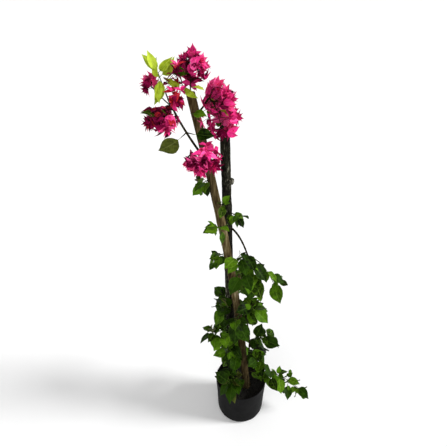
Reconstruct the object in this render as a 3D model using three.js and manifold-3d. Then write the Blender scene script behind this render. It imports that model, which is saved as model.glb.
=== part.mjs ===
// A bougainvillea in a black nursery bag: two woody stems, four thin shoots, and the leaves and
// blossom they carry. Millimetres, +Z up, the origin at the centre of the bag's flat underside.
import * as THREE from 'three';
import { ConvexGeometry } from 'three/addons/geometries/ConvexGeometry.js';
import { mergeVertices } from 'three/addons/utils/BufferGeometryUtils.js';
import Module from 'manifold-3d';

const wasm = await Module();
wasm.setup();

// The bag and its soil. The wall leans out from the base to the rim and is a little uneven.
const BAG = { rim: 104, base: 95, height: 180, wall: 2.5, floor: 4, edge: 20, sides: 36 };
const SWELL = { wall: 0.016, rim: 3.2 };
const SOIL_TOP = 135;
const GAP = 0.3;

// The woody stems: a straight line from foot to top, bowed sideways in the middle, with a root
// flare at the soil and a slight swelling at each knot. Knots are given as shares of the height.
const FOOT = SOIL_TOP + GAP;
const STEMS = {
  main_stem: {
    foot: [23, -5, FOOT],
    top: [-156, -70, 1365],
    bow: 22,
    radius: [15, 12],
    flare: 4.5,
    knots: [0.3, 0.56, 0.68, 0.845],
  },
  old_stem: {
    foot: [-36, 20, FOOT],
    top: [-70, 10, 1262],
    bow: 0,
    radius: [14.5, 14.5],
    flare: 3.5,
    knots: [0.35, 0.7, 0.76],
  },
};
const STEM_SIDES = 10;
const STEM_STEPS = 24;
const FLARE_HEIGHT = 26;
const KNOT = { rise: 0.1, length: 0.018 };

// A stub left by pruning, low on the main stem, and a healed knob high on the old one.
const STUBS = {
  main_stem: { at: 0.455, reach: [20, -6, 60], radius: [8, 6.5] },
  old_stem: { at: 0.842, reach: [20, -8, 3], radius: [8, 5.5] },
};
const STUB_SIDES = 7;

// The thin shoots: each leaves a stem at a share of its height, reaches out and arches.
const SHOOTS = {
  left_shoot: {
    on: 'main_stem', at: 0.845, reach: [-91, -36, 180], arch: [-6, -2, 0], radius: [3, 2],
  },
  right_shoot: {
    on: 'main_stem', at: 0.955, reach: [33, -12, 42], arch: [0, 0, -6], radius: [2.4, 1.8],
  },
  arch_shoot: {
    on: 'old_stem', at: 0.698, reach: [69, -48, -98], arch: [4, 0, 18], radius: [3, 2.2],
  },
  low_shoot: {
    on: 'main_stem', at: 0.08, reach: [-8, -34, 340], arch: [16, -4, 0], radius: [3.2, 2.2],
  },
};
const SHOOT_SIDES = 6;
const SHOOT_STEPS = 8;

// A leaf and a bract: corners as shares of the length and the half width, going round the blade.
// A leaf's stalk reaches back from the blade's base into the wood that carries it.
const LEAF = {
  outline: [[0, 0], [0.28, -0.92], [0.66, -0.66], [1, 0], [0.66, 0.66], [0.28, 0.92]],
  stalk: [[0, 0.09], [-0.26, 0], [0, -0.09]],
  stand: 0.2,
  fold: 0.22,
  curl: 0.12,
  thick: 1.5,
};
const BRACT = {
  outline: [[0, 0], [0.5, -1], [1, 0], [0.5, 1]],
  fold: 0.25,
  curl: 0.08,
};
const MIDDLE = 0.45;

// A head of blossom: an open ring of bracts and a closer one inside it, cones in degrees.
const HEAD = {
  heart: 5,
  slim: 0.34,
  rings: [{ cone: 78, bracts: 3, size: 1 }, { cone: 40, bracts: 2, size: 0.85 }],
};

// The sprig that carries a mass, and the twigs on it.
const SPRIG = { radius: [1.8, 1.2], sides: 3, steps: 4 };
const TWIG = { radius: 1.5, sides: 3, bud: 1.25 };

// How the growth is drawn: each pair is a range, angles in degrees. From node to node the way out
// turns round the sprig. A leaf's heading is mixed from the way out, the way on and its lift, and
// its upper side tips towards the way out.
const DRAWN = {
  turn: [112.5, 162.5],
  leaf: { length: [0.8, 1.2], lift: [-0.25, 0.25], roll: [-40, 40] },
  twig: { length: [0.7, 1.3], spread: [0.8, 1.2] },
  head: { length: [0.85, 1.15], turn: [-0.25, 0.25], cone: [-13, 13] },
};
const MIX = { out: 0.85, on: 0.4, tip: 0.25 };

// The leaves of a leafy twig: where each stands, to which side, and how large it is.
const TWIG_LEAVES = [{ at: 0.45, hand: 1, scale: 0.85 }, { at: 0.75, hand: -1, scale: 0.85 }];
const END = { leaf: 0.9, head: 1.05 };

// The room that leaves keep: over the floor, round the bag, round a limb, and between masses.
const SPACE = { floor: 6, bag: 4, limb: 2, mass: 2 };

const FINISH = {
  bag: { color: 0x17181a, roughness: 0.42, metalness: 0 },
  soil: { color: 0x2b211b, roughness: 0.95, metalness: 0 },
  main_stem: { color: 0x77604a, roughness: 0.85, metalness: 0 },
  old_stem: { color: 0x2f2d2c, roughness: 0.9, metalness: 0 },
  shoot: { color: 0x4a3f31, roughness: 0.8, metalness: 0 },
  leaf: { color: 0x3e6b1e, roughness: 0.5, metalness: 0 },
  lime: { color: 0xb7d436, roughness: 0.5, metalness: 0 },
  bract: { color: 0xd01b66, roughness: 0.65, metalness: 0 },
};

// Which way the leaves of a mass turn their upper side: to the sky, or forward where they hang.
const SKY = [0, -0.35, 1];
const SLANT = [0, -0.6, 0.8];
const FRONT = [0, -1, 0.4];

// What the masses share. A mass grows from one sprig, which leaves its stem or shoot at a share of
// its height. The pattern is what stands along the sprig, from its bare foot to its end: h is a
// head of bracts on a twig, l a leaf, t a twig with three leaves. Spread is the twigs' angle. Where
// few large leaves hang well apart, aims says which way each one turns.
const LEAVES = {
  arch: 0, pattern: 'l', bare: 0.3, space: 0.15, twig: 28, spread: 60, leaf: 60, wide: 0.39,
  droop: 0.3, aims: null, face: SKY, end: 'l', finish: FINISH.leaf,
};
const AIM = { pull: 3, length: 1.1 };
const LIME_LEAVES = { ...LEAVES, finish: FINISH.lime };
const BLOSSOM = {
  ...LEAVES, pattern: 'h', twig: 34, spread: 80, leaf: 44, bract: 36, end: 'h',
  finish: FINISH.bract,
};

const MASSES = {
  top_blossom: {
    ...BLOSSOM, on: 'main_stem', at: 1, reach: [8, -12, 80], nodes: 8, bare: 0.12, twig: 23,
    spread: 78, bract: 31, seed: 1304,
  },
  tip_leaves: {
    ...LIME_LEAVES, on: 'left_shoot', at: 1, reach: [-17, -14, 64], nodes: 4, bare: 0.75,
    leaf: 54, wide: 0.38, droop: 0,
    aims: [[0.3, -0.15, -0.9], [0.85, -0.1, 0.5], [0, -0.3, -0.95], [-0.55, -0.1, 0.8]],
    face: FRONT, end: 'n', seed: 1415,
  },
  side_blossom: {
    ...BLOSSOM, on: 'left_shoot', at: 0.9, reach: [-52, 8, 54], arch: -4, nodes: 2, bare: 0.7,
    space: 0.75, twig: 12, spread: 60, bract: 29, seed: 1097,
  },
  red_blossom: {
    ...BLOSSOM, on: 'left_shoot', at: 0.96, reach: [26, -34, 16], nodes: 8, bare: 0.2,
    space: 0.3, twig: 22, spread: 78, bract: 27, seed: 1337,
  },
  inner_leaves: {
    ...LIME_LEAVES, on: 'main_stem', at: 0.982, reach: [-20, -44, 52], nodes: 2, bare: 0.84,
    space: 0.4, leaf: 46, wide: 0.36, droop: 0, aims: [[-1, -0.1, 0.25], [0.62, -0.2, -0.8]],
    face: FRONT, end: 'n', seed: 1181,
  },
  left_blossom: {
    ...BLOSSOM, on: 'left_shoot', at: 0.74, reach: [-48, -24, 4], arch: 4, nodes: 14, bare: 0.12,
    twig: 32, spread: 82, bract: 35, seed: 1502,
  },
  right_blossom: {
    ...BLOSSOM, on: 'right_shoot', at: 1, reach: [34, 20, -84], arch: 20, nodes: 15, bare: 0.02,
    twig: 37, seed: 1113,
  },
  low_blossom: {
    ...BLOSSOM, on: 'main_stem', at: 0.866, reach: [-12, -52, 2], arch: 6, nodes: 11, bare: 0.36,
    spread: 85, seed: 1585,
  },
  round_leaf: {
    ...LEAVES, on: 'left_shoot', at: 0.5, reach: [-14, -10, -10], nodes: 1, bare: 0.7, leaf: 68,
    wide: 0.46, droop: 0, aims: [[-0.85, -0.2, -0.5]], face: FRONT, end: 'n', seed: 1103,
  },
  fork_leaf: {
    ...LEAVES, on: 'left_shoot', at: 0.5, reach: [22, -26, 4], nodes: 1, bare: 0.75, leaf: 58,
    wide: 0.42, droop: 0, aims: [[1, -0.2, 0.1]], face: FRONT, end: 'n', seed: 1513,
  },
  collar_leaf: {
    ...LEAVES, on: 'main_stem', at: 0.955, reach: [-10, -29, 10], nodes: 1, bare: 0.7, leaf: 42,
    wide: 0.4, droop: 0, aims: [[0.85, -0.3, 0]], face: FRONT, end: 'n', seed: 1392,
  },
  high_spur: {
    ...LEAVES, on: 'main_stem', at: 0.8, reach: [-24, -14, -6], arch: 3, nodes: 3, bare: 0.5,
    leaf: 46, face: SLANT, seed: 1329,
  },
  nook_leaf: {
    ...LEAVES, on: 'main_stem', at: 0.735, reach: [24, -26, 8], nodes: 2, bare: 0.4, leaf: 30,
    end: 'n', seed: 1178,
  },
  cross_leaves: {
    ...LEAVES, on: 'main_stem', at: 0.675, reach: [-8, -40, 4], nodes: 3, bare: 0.5, leaf: 42,
    end: 'n', seed: 1019,
  },
  cross_right: {
    ...LEAVES, on: 'old_stem', at: 0.745, reach: [30, -40, 2], arch: 4, nodes: 3, bare: 0.4,
    leaf: 40, seed: 1313,
  },
  arch_upper: {
    ...LEAVES, on: 'arch_shoot', at: 0.88, reach: [-32, -46, 10], arch: 8, nodes: 5, bare: 0.25,
    leaf: 56, droop: 0.5, seed: 1330,
  },
  arch_leaves: {
    ...LEAVES, on: 'arch_shoot', at: 1, reach: [38, -6, -146], nodes: 13, pattern: 'ltlltl',
    bare: 0.02, twig: 36, seed: 1630,
  },
  left_spur: {
    ...LEAVES, on: 'main_stem', at: 0.58, reach: [-40, -12, -10], arch: 6, nodes: 4, leaf: 38,
    seed: 1007,
  },
  low_shoot_top: {
    ...LEAVES, on: 'low_shoot', at: 1, reach: [24, -10, 70], nodes: 9, pattern: 'ltl',
    bare: 0.02, twig: 30, leaf: 64, seed: 1094,
  },
  pair_right: {
    ...LEAVES, on: 'arch_shoot', at: 0.97, reach: [92, 6, -118], arch: 26, nodes: 4, bare: 0.62,
    space: 0.6, leaf: 56, seed: 1028,
  },
  low_front: {
    ...LEAVES, on: 'main_stem', at: 0.34, reach: [-10, -56, 44], nodes: 6, bare: 0.35, leaf: 62,
    seed: 1586,
  },
  low_left: {
    ...LEAVES, on: 'main_stem', at: 0.37, reach: [-62, -14, 20], arch: 8, nodes: 8,
    pattern: 'ltl', bare: 0.25, twig: 30, seed: 1557,
  },
  left_sprig: {
    ...LEAVES, on: 'main_stem', at: 0.27, reach: [-104, -34, 36], arch: 10, nodes: 7,
    pattern: 'lltl', bare: 0.35, leaf: 54, seed: 1106,
  },
  right_sprig: {
    ...LEAVES, on: 'low_shoot', at: 0.6, reach: [78, 10, -6], arch: 12, nodes: 7, pattern: 'ltl',
    bare: 0.2, leaf: 62, seed: 1620,
  },
  foot_right: {
    ...LEAVES, on: 'low_shoot', at: 0.36, reach: [38, -18, 30], arch: 6, nodes: 9,
    pattern: 'ltl', bare: 0.15, twig: 32, leaf: 62, seed: 1428,
  },
  foot_left: {
    ...LEAVES, on: 'main_stem', at: 0.18, reach: [-58, -24, 34], arch: 8, nodes: 9,
    pattern: 'ltl', bare: 0.25, twig: 30, leaf: 58, seed: 1036,
  },
  pot_sprig: {
    ...LEAVES, on: 'main_stem', at: 0.07, reach: [236, -26, -84], arch: 50, nodes: 12,
    pattern: 'lltlll', bare: 0.22, twig: 24, leaf: 52, seed: 1035,
  },
  pot_left: {
    ...LEAVES, on: 'main_stem', at: 0.05, reach: [-66, -52, 28], arch: 14, nodes: 7,
    pattern: 'ltl', twig: 26, leaf: 62, seed: 1463,
  },
  pot_back: {
    ...LEAVES, on: 'main_stem', at: 0.09, reach: [50, 40, 10], arch: 10, nodes: 6,
    pattern: 'ltl', twig: 26, leaf: 52, seed: 1012,
  },
  back_leaves: {
    ...LEAVES, on: 'old_stem', at: 0.24, reach: [6, 66, 60], arch: 10, nodes: 9, pattern: 'ltl',
    bare: 0.25, twig: 34, seed: 1134,
  },
  back_foot: {
    ...LEAVES, on: 'old_stem', at: 0.11, reach: [-22, 64, 16], arch: 10, nodes: 8,
    pattern: 'ltl', bare: 0.35, space: 0.55, twig: 30, leaf: 58, seed: 1298,
  },
  back_right: {
    ...LEAVES, on: 'old_stem', at: 0.3, reach: [76, 42, 24], arch: 12, nodes: 8, pattern: 'ltl',
    bare: 0.35, space: 0.55, twig: 30, leaf: 58, seed: 1578,
  },
  back_upper: {
    ...LEAVES, on: 'old_stem', at: 0.45, reach: [62, 46, 26], arch: 10, nodes: 8, pattern: 'ltl',
    bare: 0.35, space: 0.55, leaf: 56, seed: 1607,
  },
  back_left: {
    ...LEAVES, on: 'old_stem', at: 0.4, reach: [-20, 72, -40], arch: 10, nodes: 8,
    pattern: 'ltl', bare: 0.35, space: 0.55, leaf: 56, seed: 1492,
  },
};

const UP = vec(0, 0, 1);
const SIDEWAYS = vec(1, 0, 0);
const FORWARD = vec(0, 1, 0);

function vec(x, y, z) {
  return new THREE.Vector3(x, y, z);
}

function along(start, direction, distance) {
  return start.clone().addScaledVector(direction, distance);
}

function radians(degrees) {
  return THREE.MathUtils.degToRad(degrees);
}

// The same numbers for the same seed: a Park-Miller generator, its first three draws thrown away.
function seeded(seed) {
  let state = seed;
  const draw = () => {
    state = (state * 48271) % 2147483647;
    return state / 2147483647;
  };
  for (let i = 0; i < 3; i += 1) draw();
  return draw;
}

// Two directions square to a third, with acrossA x acrossB along it.
function squareTo(direction, reference = Math.abs(direction.z) < 0.9 ? UP : SIDEWAYS) {
  const acrossA = direction.clone().cross(reference).normalize();
  const acrossB = direction.clone().cross(acrossA);
  return [acrossA, acrossB];
}

// ---- solids: a geometry's vertices are merged and handed to manifold-3d ----

function solid(geometry) {
  geometry.deleteAttribute('normal');
  geometry.deleteAttribute('uv');
  const merged = mergeVertices(geometry, 1e-4);
  return new wasm.Manifold(new wasm.Mesh({
    numProp: 3,
    vertProperties: merged.attributes.position.array,
    triVerts: new Uint32Array(merged.index.array),
  }));
}

function geometryOf(manifold) {
  const mesh = manifold.getMesh();
  const geometry = new THREE.BufferGeometry();
  geometry.setAttribute('position', new THREE.BufferAttribute(mesh.vertProperties, mesh.numProp));
  geometry.setIndex(new THREE.BufferAttribute(mesh.triVerts, 1));
  const flat = geometry.toNonIndexed();
  flat.computeVertexNormals();
  return flat;
}

// The one connected body that counts: loose scraps and sealed hollows are let go.
function wholeBody(manifold) {
  const bodies = manifold.decompose();
  return bodies.reduce((largest, body) => (body.volume() > largest.volume() ? body : largest));
}

// A limb: a cylinder bent along a route, level sections for a stem, square ones for the rest.
function limb(route, radiusAt, sides, steps, level = false) {
  const geometry = new THREE.CylinderGeometry(1, 1, 1, sides, steps);
  const position = geometry.attributes.position;
  const overall = route(1).sub(route(0)).normalize();
  const reference = Math.abs(overall.z) < 0.9 ? UP : SIDEWAYS;
  for (let i = 0; i < position.count; i += 1) {
    const t = position.getY(i) + 0.5;
    const [acrossA, acrossB] = level
      ? [SIDEWAYS, FORWARD]
      : squareTo(headingOf(route, t), reference);
    const point = route(t)
      .addScaledVector(acrossA, position.getZ(i) * radiusAt(t))
      .addScaledVector(acrossB, position.getX(i) * radiusAt(t));
    position.setXYZ(i, point.x, point.y, point.z);
  }
  return solid(geometry);
}

function headingOf(route, t) {
  const step = 0.01;
  return route(t + step).sub(route(t - step)).normalize();
}

function between([first, last]) {
  return (t) => THREE.MathUtils.lerp(first, last, t);
}

// ---- stems and shoots ----

function stemRoute({ foot, top, bow }) {
  return (t) => vec(...foot).lerp(vec(...top), t).add(vec(bow * Math.sin(Math.PI * t), 0, 0));
}

function stemRadius({ foot, top, radius, flare, knots }) {
  return (t) => {
    const height = (top[2] - foot[2]) * t;
    const taper = between(radius)(t);
    const swell = knots.reduce((sum, at) => sum + Math.exp(-(((t - at) / KNOT.length) ** 2)), 0);
    return taper * (1 + KNOT.rise * swell) + flare * Math.exp(-height / FLARE_HEIGHT);
  };
}

function archedRoute({ on, at, reach, arch }) {
  const start = limbs[on].route(at);
  return (t) => along(start, vec(...reach), t).addScaledVector(vec(...arch), 4 * t * (1 - t));
}

const limbs = {};
for (const [name, stem] of Object.entries(STEMS)) {
  const radiusAt = stemRadius(stem);
  limbs[name] = { route: stemRoute(stem), radiusAt, radius: stem.radius, stem: true };
}
for (const [name, shoot] of Object.entries(SHOOTS)) {
  const radiusAt = between(shoot.radius);
  limbs[name] = { route: archedRoute(shoot), radiusAt, radius: shoot.radius, stem: false };
}

// A limb's solid, or with a gap the room that its neighbours leave round it.
function limbSolid({ route, radiusAt, stem }, gap = 0) {
  const end = gap / route(1).distanceTo(route(0));
  const longer = (t) => route(THREE.MathUtils.lerp(-end, 1 + end, t));
  const sides = stem ? STEM_SIDES : SHOOT_SIDES;
  const steps = stem ? STEM_STEPS : SHOOT_STEPS;
  return limb(longer, (t) => radiusAt(t) + gap, sides, steps, stem);
}

// A short stub that stands out of a stem, with its root sunk to the stem's middle.
function stub(name, gap = 0) {
  const { at, reach, radius } = STUBS[name];
  const end = gap / vec(...reach).length();
  const route = (t) => along(limbs[name].route(at), vec(...reach), t * (1 + end));
  return limb(route, (t) => between(radius)(t) + gap, STUB_SIDES, 1);
}

function clearOf(manifold, names) {
  return names.reduce((rest, name) => rest.subtract(rooms[name]), manifold);
}

// ---- the bag and its soil ----

// The soft wall is out of round by a little, and its rim rises and falls.
function soften(geometry) {
  const position = geometry.attributes.position;
  for (let i = 0; i < position.count; i += 1) {
    const [x, y, z] = [position.getX(i), position.getY(i), position.getZ(i)];
    const turn = Math.atan2(y, x);
    const share = Math.max(0, z / BAG.height);
    const out = 1 + SWELL.wall * share * Math.sin(3 * turn + 0.6);
    const rise = SWELL.rim * share ** 4 * Math.sin(2 * turn + 0.4);
    position.setXYZ(i, x * out, y * out, z + rise);
  }
  return geometry;
}

function wallRadius(z) {
  return between([BAG.base, BAG.rim])(z / BAG.height);
}

// A closed profile of [radius, height] turned about the bag's axis.
function turned(profile) {
  const points = profile.map(([radius, height]) => new THREE.Vector2(radius, height));
  const geometry = new THREE.LatheGeometry(points, BAG.sides);
  geometry.rotateX(Math.PI / 2);
  return solid(soften(geometry));
}

// The rounded lower edge, drawn in from the wall by an inset, from the flat base up to the wall.
function lowerEdge(inset, base) {
  const radius = BAG.edge - inset;
  const centre = wallRadius(BAG.edge) - BAG.edge;
  const points = [];
  for (let i = 0; i <= 4; i += 1) {
    const turn = (i / 4) * (Math.PI / 2);
    points.push([centre + radius * Math.sin(turn), base + radius * (1 - Math.cos(turn))]);
  }
  return points;
}

function bagSolid() {
  return turned([
    [0, 0],
    ...lowerEdge(0, 0),
    [wallRadius(BAG.height), BAG.height],
    [wallRadius(BAG.height) - BAG.wall, BAG.height],
    [wallRadius(SOIL_TOP) - BAG.wall, SOIL_TOP],
    ...lowerEdge(BAG.wall, BAG.floor).reverse(),
    [0, BAG.floor],
  ]);
}

function soilSolid() {
  const inset = BAG.wall + GAP;
  return turned([
    [0, BAG.floor + GAP],
    ...lowerEdge(inset, BAG.floor + GAP),
    [wallRadius(SOIL_TOP) - inset, SOIL_TOP],
    [0, SOIL_TOP],
  ]);
}

// ---- leaves, bracts and the masses they make ----

function bladePoint(blade, u, v) {
  const { kind, base, heading, side, face, length, width } = blade;
  const rise = kind.fold * Math.abs(v) * width - kind.curl * length * u * u;
  return base.clone()
    .addScaledVector(heading, u * length)
    .addScaledVector(side, v * width)
    .addScaledVector(face, rise);
}

// A leaf is a sphere of one ring: the ring takes the outline, with the stalk's corners in place of
// the first, and the poles take the two faces of the blade's middle.
function leafSolid(blade) {
  const { outline, stalk, thick } = blade.kind;
  const corners = [...stalk, ...outline.slice(1)];
  const geometry = new THREE.SphereGeometry(1, corners.length, 2);
  const position = geometry.attributes.position;
  for (let i = 0; i < position.count; i += 1) {
    const pole = Math.round(position.getY(i));
    const turn = Math.atan2(position.getZ(i), -position.getX(i)) / (2 * Math.PI);
    const corner = (Math.round(turn * corners.length) + corners.length) % corners.length;
    const point = pole
      ? along(bladePoint(blade, MIDDLE, 0), blade.face, (pole * thick) / 2)
      : bladePoint(blade, ...corners[corner]);
    position.setXYZ(i, point.x, point.y, point.z);
  }
  return solid(geometry);
}

// A bract is the hull of its four folded corners.
function bractSolid(blade) {
  return solid(new ConvexGeometry(blade.kind.outline.map(([u, v]) => bladePoint(blade, u, v))));
}

// Points that stand for a blade when its space is tested: its corners, its edges and its middle.
function bladeProbes(blade) {
  const ring = blade.kind.outline.map(([u, v]) => bladePoint(blade, u, v));
  const edges = ring.map((point, i) => point.clone().lerp(ring[(i + 1) % ring.length], 0.5));
  const middle = ring[0].clone().lerp(ring[ring.length / 2], MIDDLE);
  return [...ring.slice(1), middle, ...edges];
}

function linesAlong(route, from, count) {
  const stop = (i) => route(THREE.MathUtils.lerp(from, 1, i / count));
  return Array.from({ length: count }, (_, i) => new THREE.Line3(stop(i), stop(i + 1)));
}

function distanceTo(point, lines) {
  const distances = lines.map((line) => (
    line.closestPointToPoint(point, true, vec(0, 0, 0)).distanceTo(point)
  ));
  return Math.min(...distances);
}

// The route of a mass's sprig, and the share of it where each of its nodes stands.
function sprigRoute({ on, at, reach, arch }) {
  return archedRoute({ on, at, reach, arch: [0, 0, arch] });
}

function nodeAt({ bare, nodes }, i) {
  return bare + ((1 - bare) * (i + 0.5)) / nodes;
}

// The lines that a mass's space is measured from: its sprig's, and those of the leaves it aims.
function linesOf(plan) {
  const route = sprigRoute(plan);
  const aimed = (plan.aims ?? []).map((aim, i) => {
    const root = route(nodeAt(plan, i));
    return new THREE.Line3(root, along(root, vec(...aim).normalize(), plan.leaf * AIM.length));
  });
  return [...linesAlong(route, plan.space, 5), ...aimed];
}

function clearOfBag(point) {
  const radius = Math.hypot(point.x, point.y);
  if (point.z < SPACE.floor) return false;
  if (point.z > BAG.height + SPACE.bag) return true;
  if (radius < BAG.rim - BAG.wall - 2 * SPACE.bag) return point.z > SOIL_TOP + SPACE.bag;
  return radius > BAG.rim + SPACE.bag;
}

function clearOfLimbs(point) {
  return limbLines.every(({ lines, radii }) => lines.every((line, i) => (
    distanceTo(point, [line]) >= Math.max(radii[i], radii[i + 1]) + SPACE.limb
  )));
}

// A point is free for a mass where it is nearer that mass's own lines than any other's.
function isFree(point, name) {
  if (!clearOfBag(point) || !clearOfLimbs(point)) return false;
  const own = distanceTo(point, massLines[name]) + SPACE.mass;
  return Object.keys(massLines).every((other) => (
    other === name || distanceTo(point, massLines[other]) >= own
  ));
}

// Grows one mass: every draw is made before its test, so that what is skipped changes nothing else.
function grow(name) {
  const plan = MASSES[name];
  const random = seeded(plan.seed);
  const route = sprigRoute(plan);
  const drawn = (range) => between(range)(random());
  const grown = { twigs: [], heads: [], leaves: [], bracts: [] };
  const fits = (blade) => bladeProbes(blade).every((point) => isFree(point, name));

  const addLeaf = (root, outward, heading, scale) => {
    const length = plan.leaf * scale * drawn(DRAWN.leaf.length);
    const lift = drawn(DRAWN.leaf.lift);
    const roll = radians(drawn(DRAWN.leaf.roll));
    const direction = outward.clone().multiplyScalar(MIX.out)
      .addScaledVector(heading, MIX.on)
      .addScaledVector(UP, lift - plan.droop)
      .normalize();
    const upper = vec(...plan.face).addScaledVector(outward, MIX.tip).normalize();
    const level = upper.cross(direction).normalize();
    const square = direction.clone().cross(level);
    const side = level.multiplyScalar(Math.cos(roll)).addScaledVector(square, Math.sin(roll));
    const blade = {
      kind: LEAF,
      base: along(root, direction, length * LEAF.stand),
      heading: direction,
      side,
      face: direction.clone().cross(side),
      length,
      width: length * plan.wide,
    };
    if (fits(blade)) grown.leaves.push(blade);
  };

  const addHead = (centre, axis, scale) => {
    const spin = random() * 2 * Math.PI;
    const length = plan.bract * scale * drawn(DRAWN.head.length);
    const [acrossA, acrossB] = squareTo(axis);
    const made = [];
    HEAD.rings.forEach(({ cone, bracts, size }, ring) => {
      for (let i = 0; i < bracts; i += 1) {
        const around = ((i + ring / HEAD.rings.length) * 2 * Math.PI) / bracts;
        const turn = spin + around + drawn(DRAWN.head.turn);
        const opening = radians(cone + drawn(DRAWN.head.cone));
        const outward = acrossA.clone().multiplyScalar(Math.cos(turn))
          .addScaledVector(acrossB, Math.sin(turn));
        const heading = axis.clone().multiplyScalar(Math.cos(opening))
          .addScaledVector(outward, Math.sin(opening))
          .normalize();
        const side = axis.clone().cross(outward).normalize();
        const blade = {
          kind: BRACT,
          base: centre,
          heading,
          side,
          face: heading.clone().cross(side),
          length: length * size,
          width: length * size * HEAD.slim,
        };
        if (fits(blade)) made.push(blade);
      }
    });
    if (made.length) {
      grown.heads.push(centre);
      grown.bracts.push(...made);
    }
  };

  const addTwig = (start, heading, outward, item) => {
    const spread = radians(plan.spread) * drawn(DRAWN.twig.spread);
    const direction = heading.clone().multiplyScalar(Math.cos(spread))
      .addScaledVector(outward, Math.sin(spread))
      .normalize();
    const length = plan.twig * drawn(DRAWN.twig.length);
    const end = along(start, direction, length);
    const halfway = start.clone().lerp(end, 0.5);
    const open = isFree(end, name) && isFree(halfway, name);
    const before = grown.leaves.length + grown.bracts.length;
    if (!open && item === 'h') random();
    if (open && item === 'h') addHead(end, direction, 1);
    if (open && item === 't') {
      const side = direction.clone().cross(outward).normalize();
      for (const { at, hand, scale } of TWIG_LEAVES) {
        const aside = side.clone().multiplyScalar(hand);
        addLeaf(start.clone().lerp(end, at), aside, direction, scale);
      }
      addLeaf(end, direction, direction, END.leaf);
    }
    if (grown.leaves.length + grown.bracts.length > before) grown.twigs.push([start, end]);
  };

  let turn = random() * 360;
  for (let i = 0; i < plan.nodes; i += 1) {
    const t = nodeAt(plan, i);
    const point = route(t);
    const heading = sprigHeading(plan, t);
    turn += drawn(DRAWN.turn);
    const [acrossA, acrossB] = squareTo(heading);
    const outward = plan.aims
      ? vec(...plan.aims[i]).multiplyScalar(AIM.pull)
      : acrossA.multiplyScalar(Math.cos(radians(turn)))
        .addScaledVector(acrossB, Math.sin(radians(turn)));
    const item = plan.pattern[i % plan.pattern.length];
    if (item === 'l') addLeaf(point, outward, heading, 1);
    else addTwig(point, heading, outward, item);
  }
  const heading = sprigHeading(plan, 1);
  if (plan.end === 'h') addHead(route(1), heading, END.head);
  if (plan.end === 'l') addLeaf(route(1), heading, heading, 1);
  return grown;
}

function sprigHeading({ reach, arch }, t) {
  return vec(reach[0], reach[1], reach[2] + arch * 4 * (1 - 2 * t)).normalize();
}

// A head's heart is a tetrahedron that its bracts are rooted in.
function heart(centre) {
  return solid(new THREE.TetrahedronGeometry(HEAD.heart, 0).translate(...centre.toArray()));
}

// A twig is a slender three-sided cone, and its point stands past the end as a bud.
function twig([start, end]) {
  const length = start.distanceTo(end) * TWIG.bud;
  const cone = new THREE.ConeGeometry(TWIG.radius, length, TWIG.sides).translate(0, length / 2, 0);
  const heading = end.clone().sub(start).normalize();
  cone.applyQuaternion(new THREE.Quaternion().setFromUnitVectors(FORWARD, heading));
  return solid(cone.translate(start.x, start.y, start.z));
}

// A mass: its sprig with all that stands on it, cut back to leave the limbs their room.
function massSolid(name) {
  const plan = MASSES[name];
  const grown = grow(name);
  const steps = plan.arch ? SPRIG.steps : 1;
  const sprig = limb(sprigRoute(plan), between(SPRIG.radius), SPRIG.sides, steps);
  const pieces = [
    ...grown.twigs.map(twig),
    ...grown.heads.map(heart),
    ...grown.leaves.map(leafSolid),
    ...grown.bracts.map(bractSolid),
  ];
  const fused = pieces.reduce((whole, piece) => whole.add(piece), sprig);
  return wholeBody(clearOf(fused, Object.keys(rooms)));
}

// ---- the plant ----

const plant = new THREE.Group();

function addMesh(name, manifold, finish) {
  const mesh = new THREE.Mesh(geometryOf(manifold), new THREE.MeshStandardMaterial(finish));
  mesh.name = name;
  plant.add(mesh);
}

const limbLines = Object.values(limbs).map(({ route, radius, stem }) => {
  const count = stem ? 16 : 8;
  const radii = Array.from({ length: count + 1 }, (_, i) => between(radius)(i / count));
  return { lines: linesAlong(route, 0, count), radii };
});
const massLines = Object.fromEntries(Object.entries(MASSES).map(([name, plan]) => (
  [name, linesOf(plan)]
)));

const rooms = Object.fromEntries(Object.entries(limbs).map(([name, made]) => {
  const room = limbSolid(made, GAP);
  return [name, made.stem ? room.add(stub(name, GAP)) : room];
}));

addMesh('pot', bagSolid(), FINISH.bag);
addMesh('soil', soilSolid(), FINISH.soil);
for (const name of Object.keys(STEMS)) {
  addMesh(name, wholeBody(limbSolid(limbs[name]).add(stub(name))), FINISH[name]);
}
for (const [name, { on }] of Object.entries(SHOOTS)) {
  addMesh(name, wholeBody(clearOf(limbSolid(limbs[name]), [on])), FINISH.shoot);
}
for (const [name, { finish }] of Object.entries(MASSES)) {
  addMesh(name, massSolid(name), finish);
}

export default plant;
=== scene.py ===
from functools import partial
from math import atan2, cos, exp, hypot, pi, radians, sin, sqrt

import bmesh
import bpy
import numpy as np
from mathutils import Matrix, Vector, noise


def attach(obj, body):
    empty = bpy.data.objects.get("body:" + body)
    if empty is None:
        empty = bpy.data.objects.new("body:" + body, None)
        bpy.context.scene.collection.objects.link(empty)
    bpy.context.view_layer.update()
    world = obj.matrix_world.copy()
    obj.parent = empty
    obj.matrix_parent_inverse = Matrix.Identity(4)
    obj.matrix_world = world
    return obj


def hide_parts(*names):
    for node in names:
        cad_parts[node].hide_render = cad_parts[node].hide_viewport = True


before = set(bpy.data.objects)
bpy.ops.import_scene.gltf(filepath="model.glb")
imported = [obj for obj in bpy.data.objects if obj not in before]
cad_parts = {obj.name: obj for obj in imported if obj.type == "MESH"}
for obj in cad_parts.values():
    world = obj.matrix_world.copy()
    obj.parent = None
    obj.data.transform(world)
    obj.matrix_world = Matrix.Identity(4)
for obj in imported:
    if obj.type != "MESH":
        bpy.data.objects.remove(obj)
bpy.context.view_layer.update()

# A bougainvillea in a black nursery bag. The growth is worked out in millimetres and every
# mesh is made in metres.
millimetre = 0.001


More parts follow.
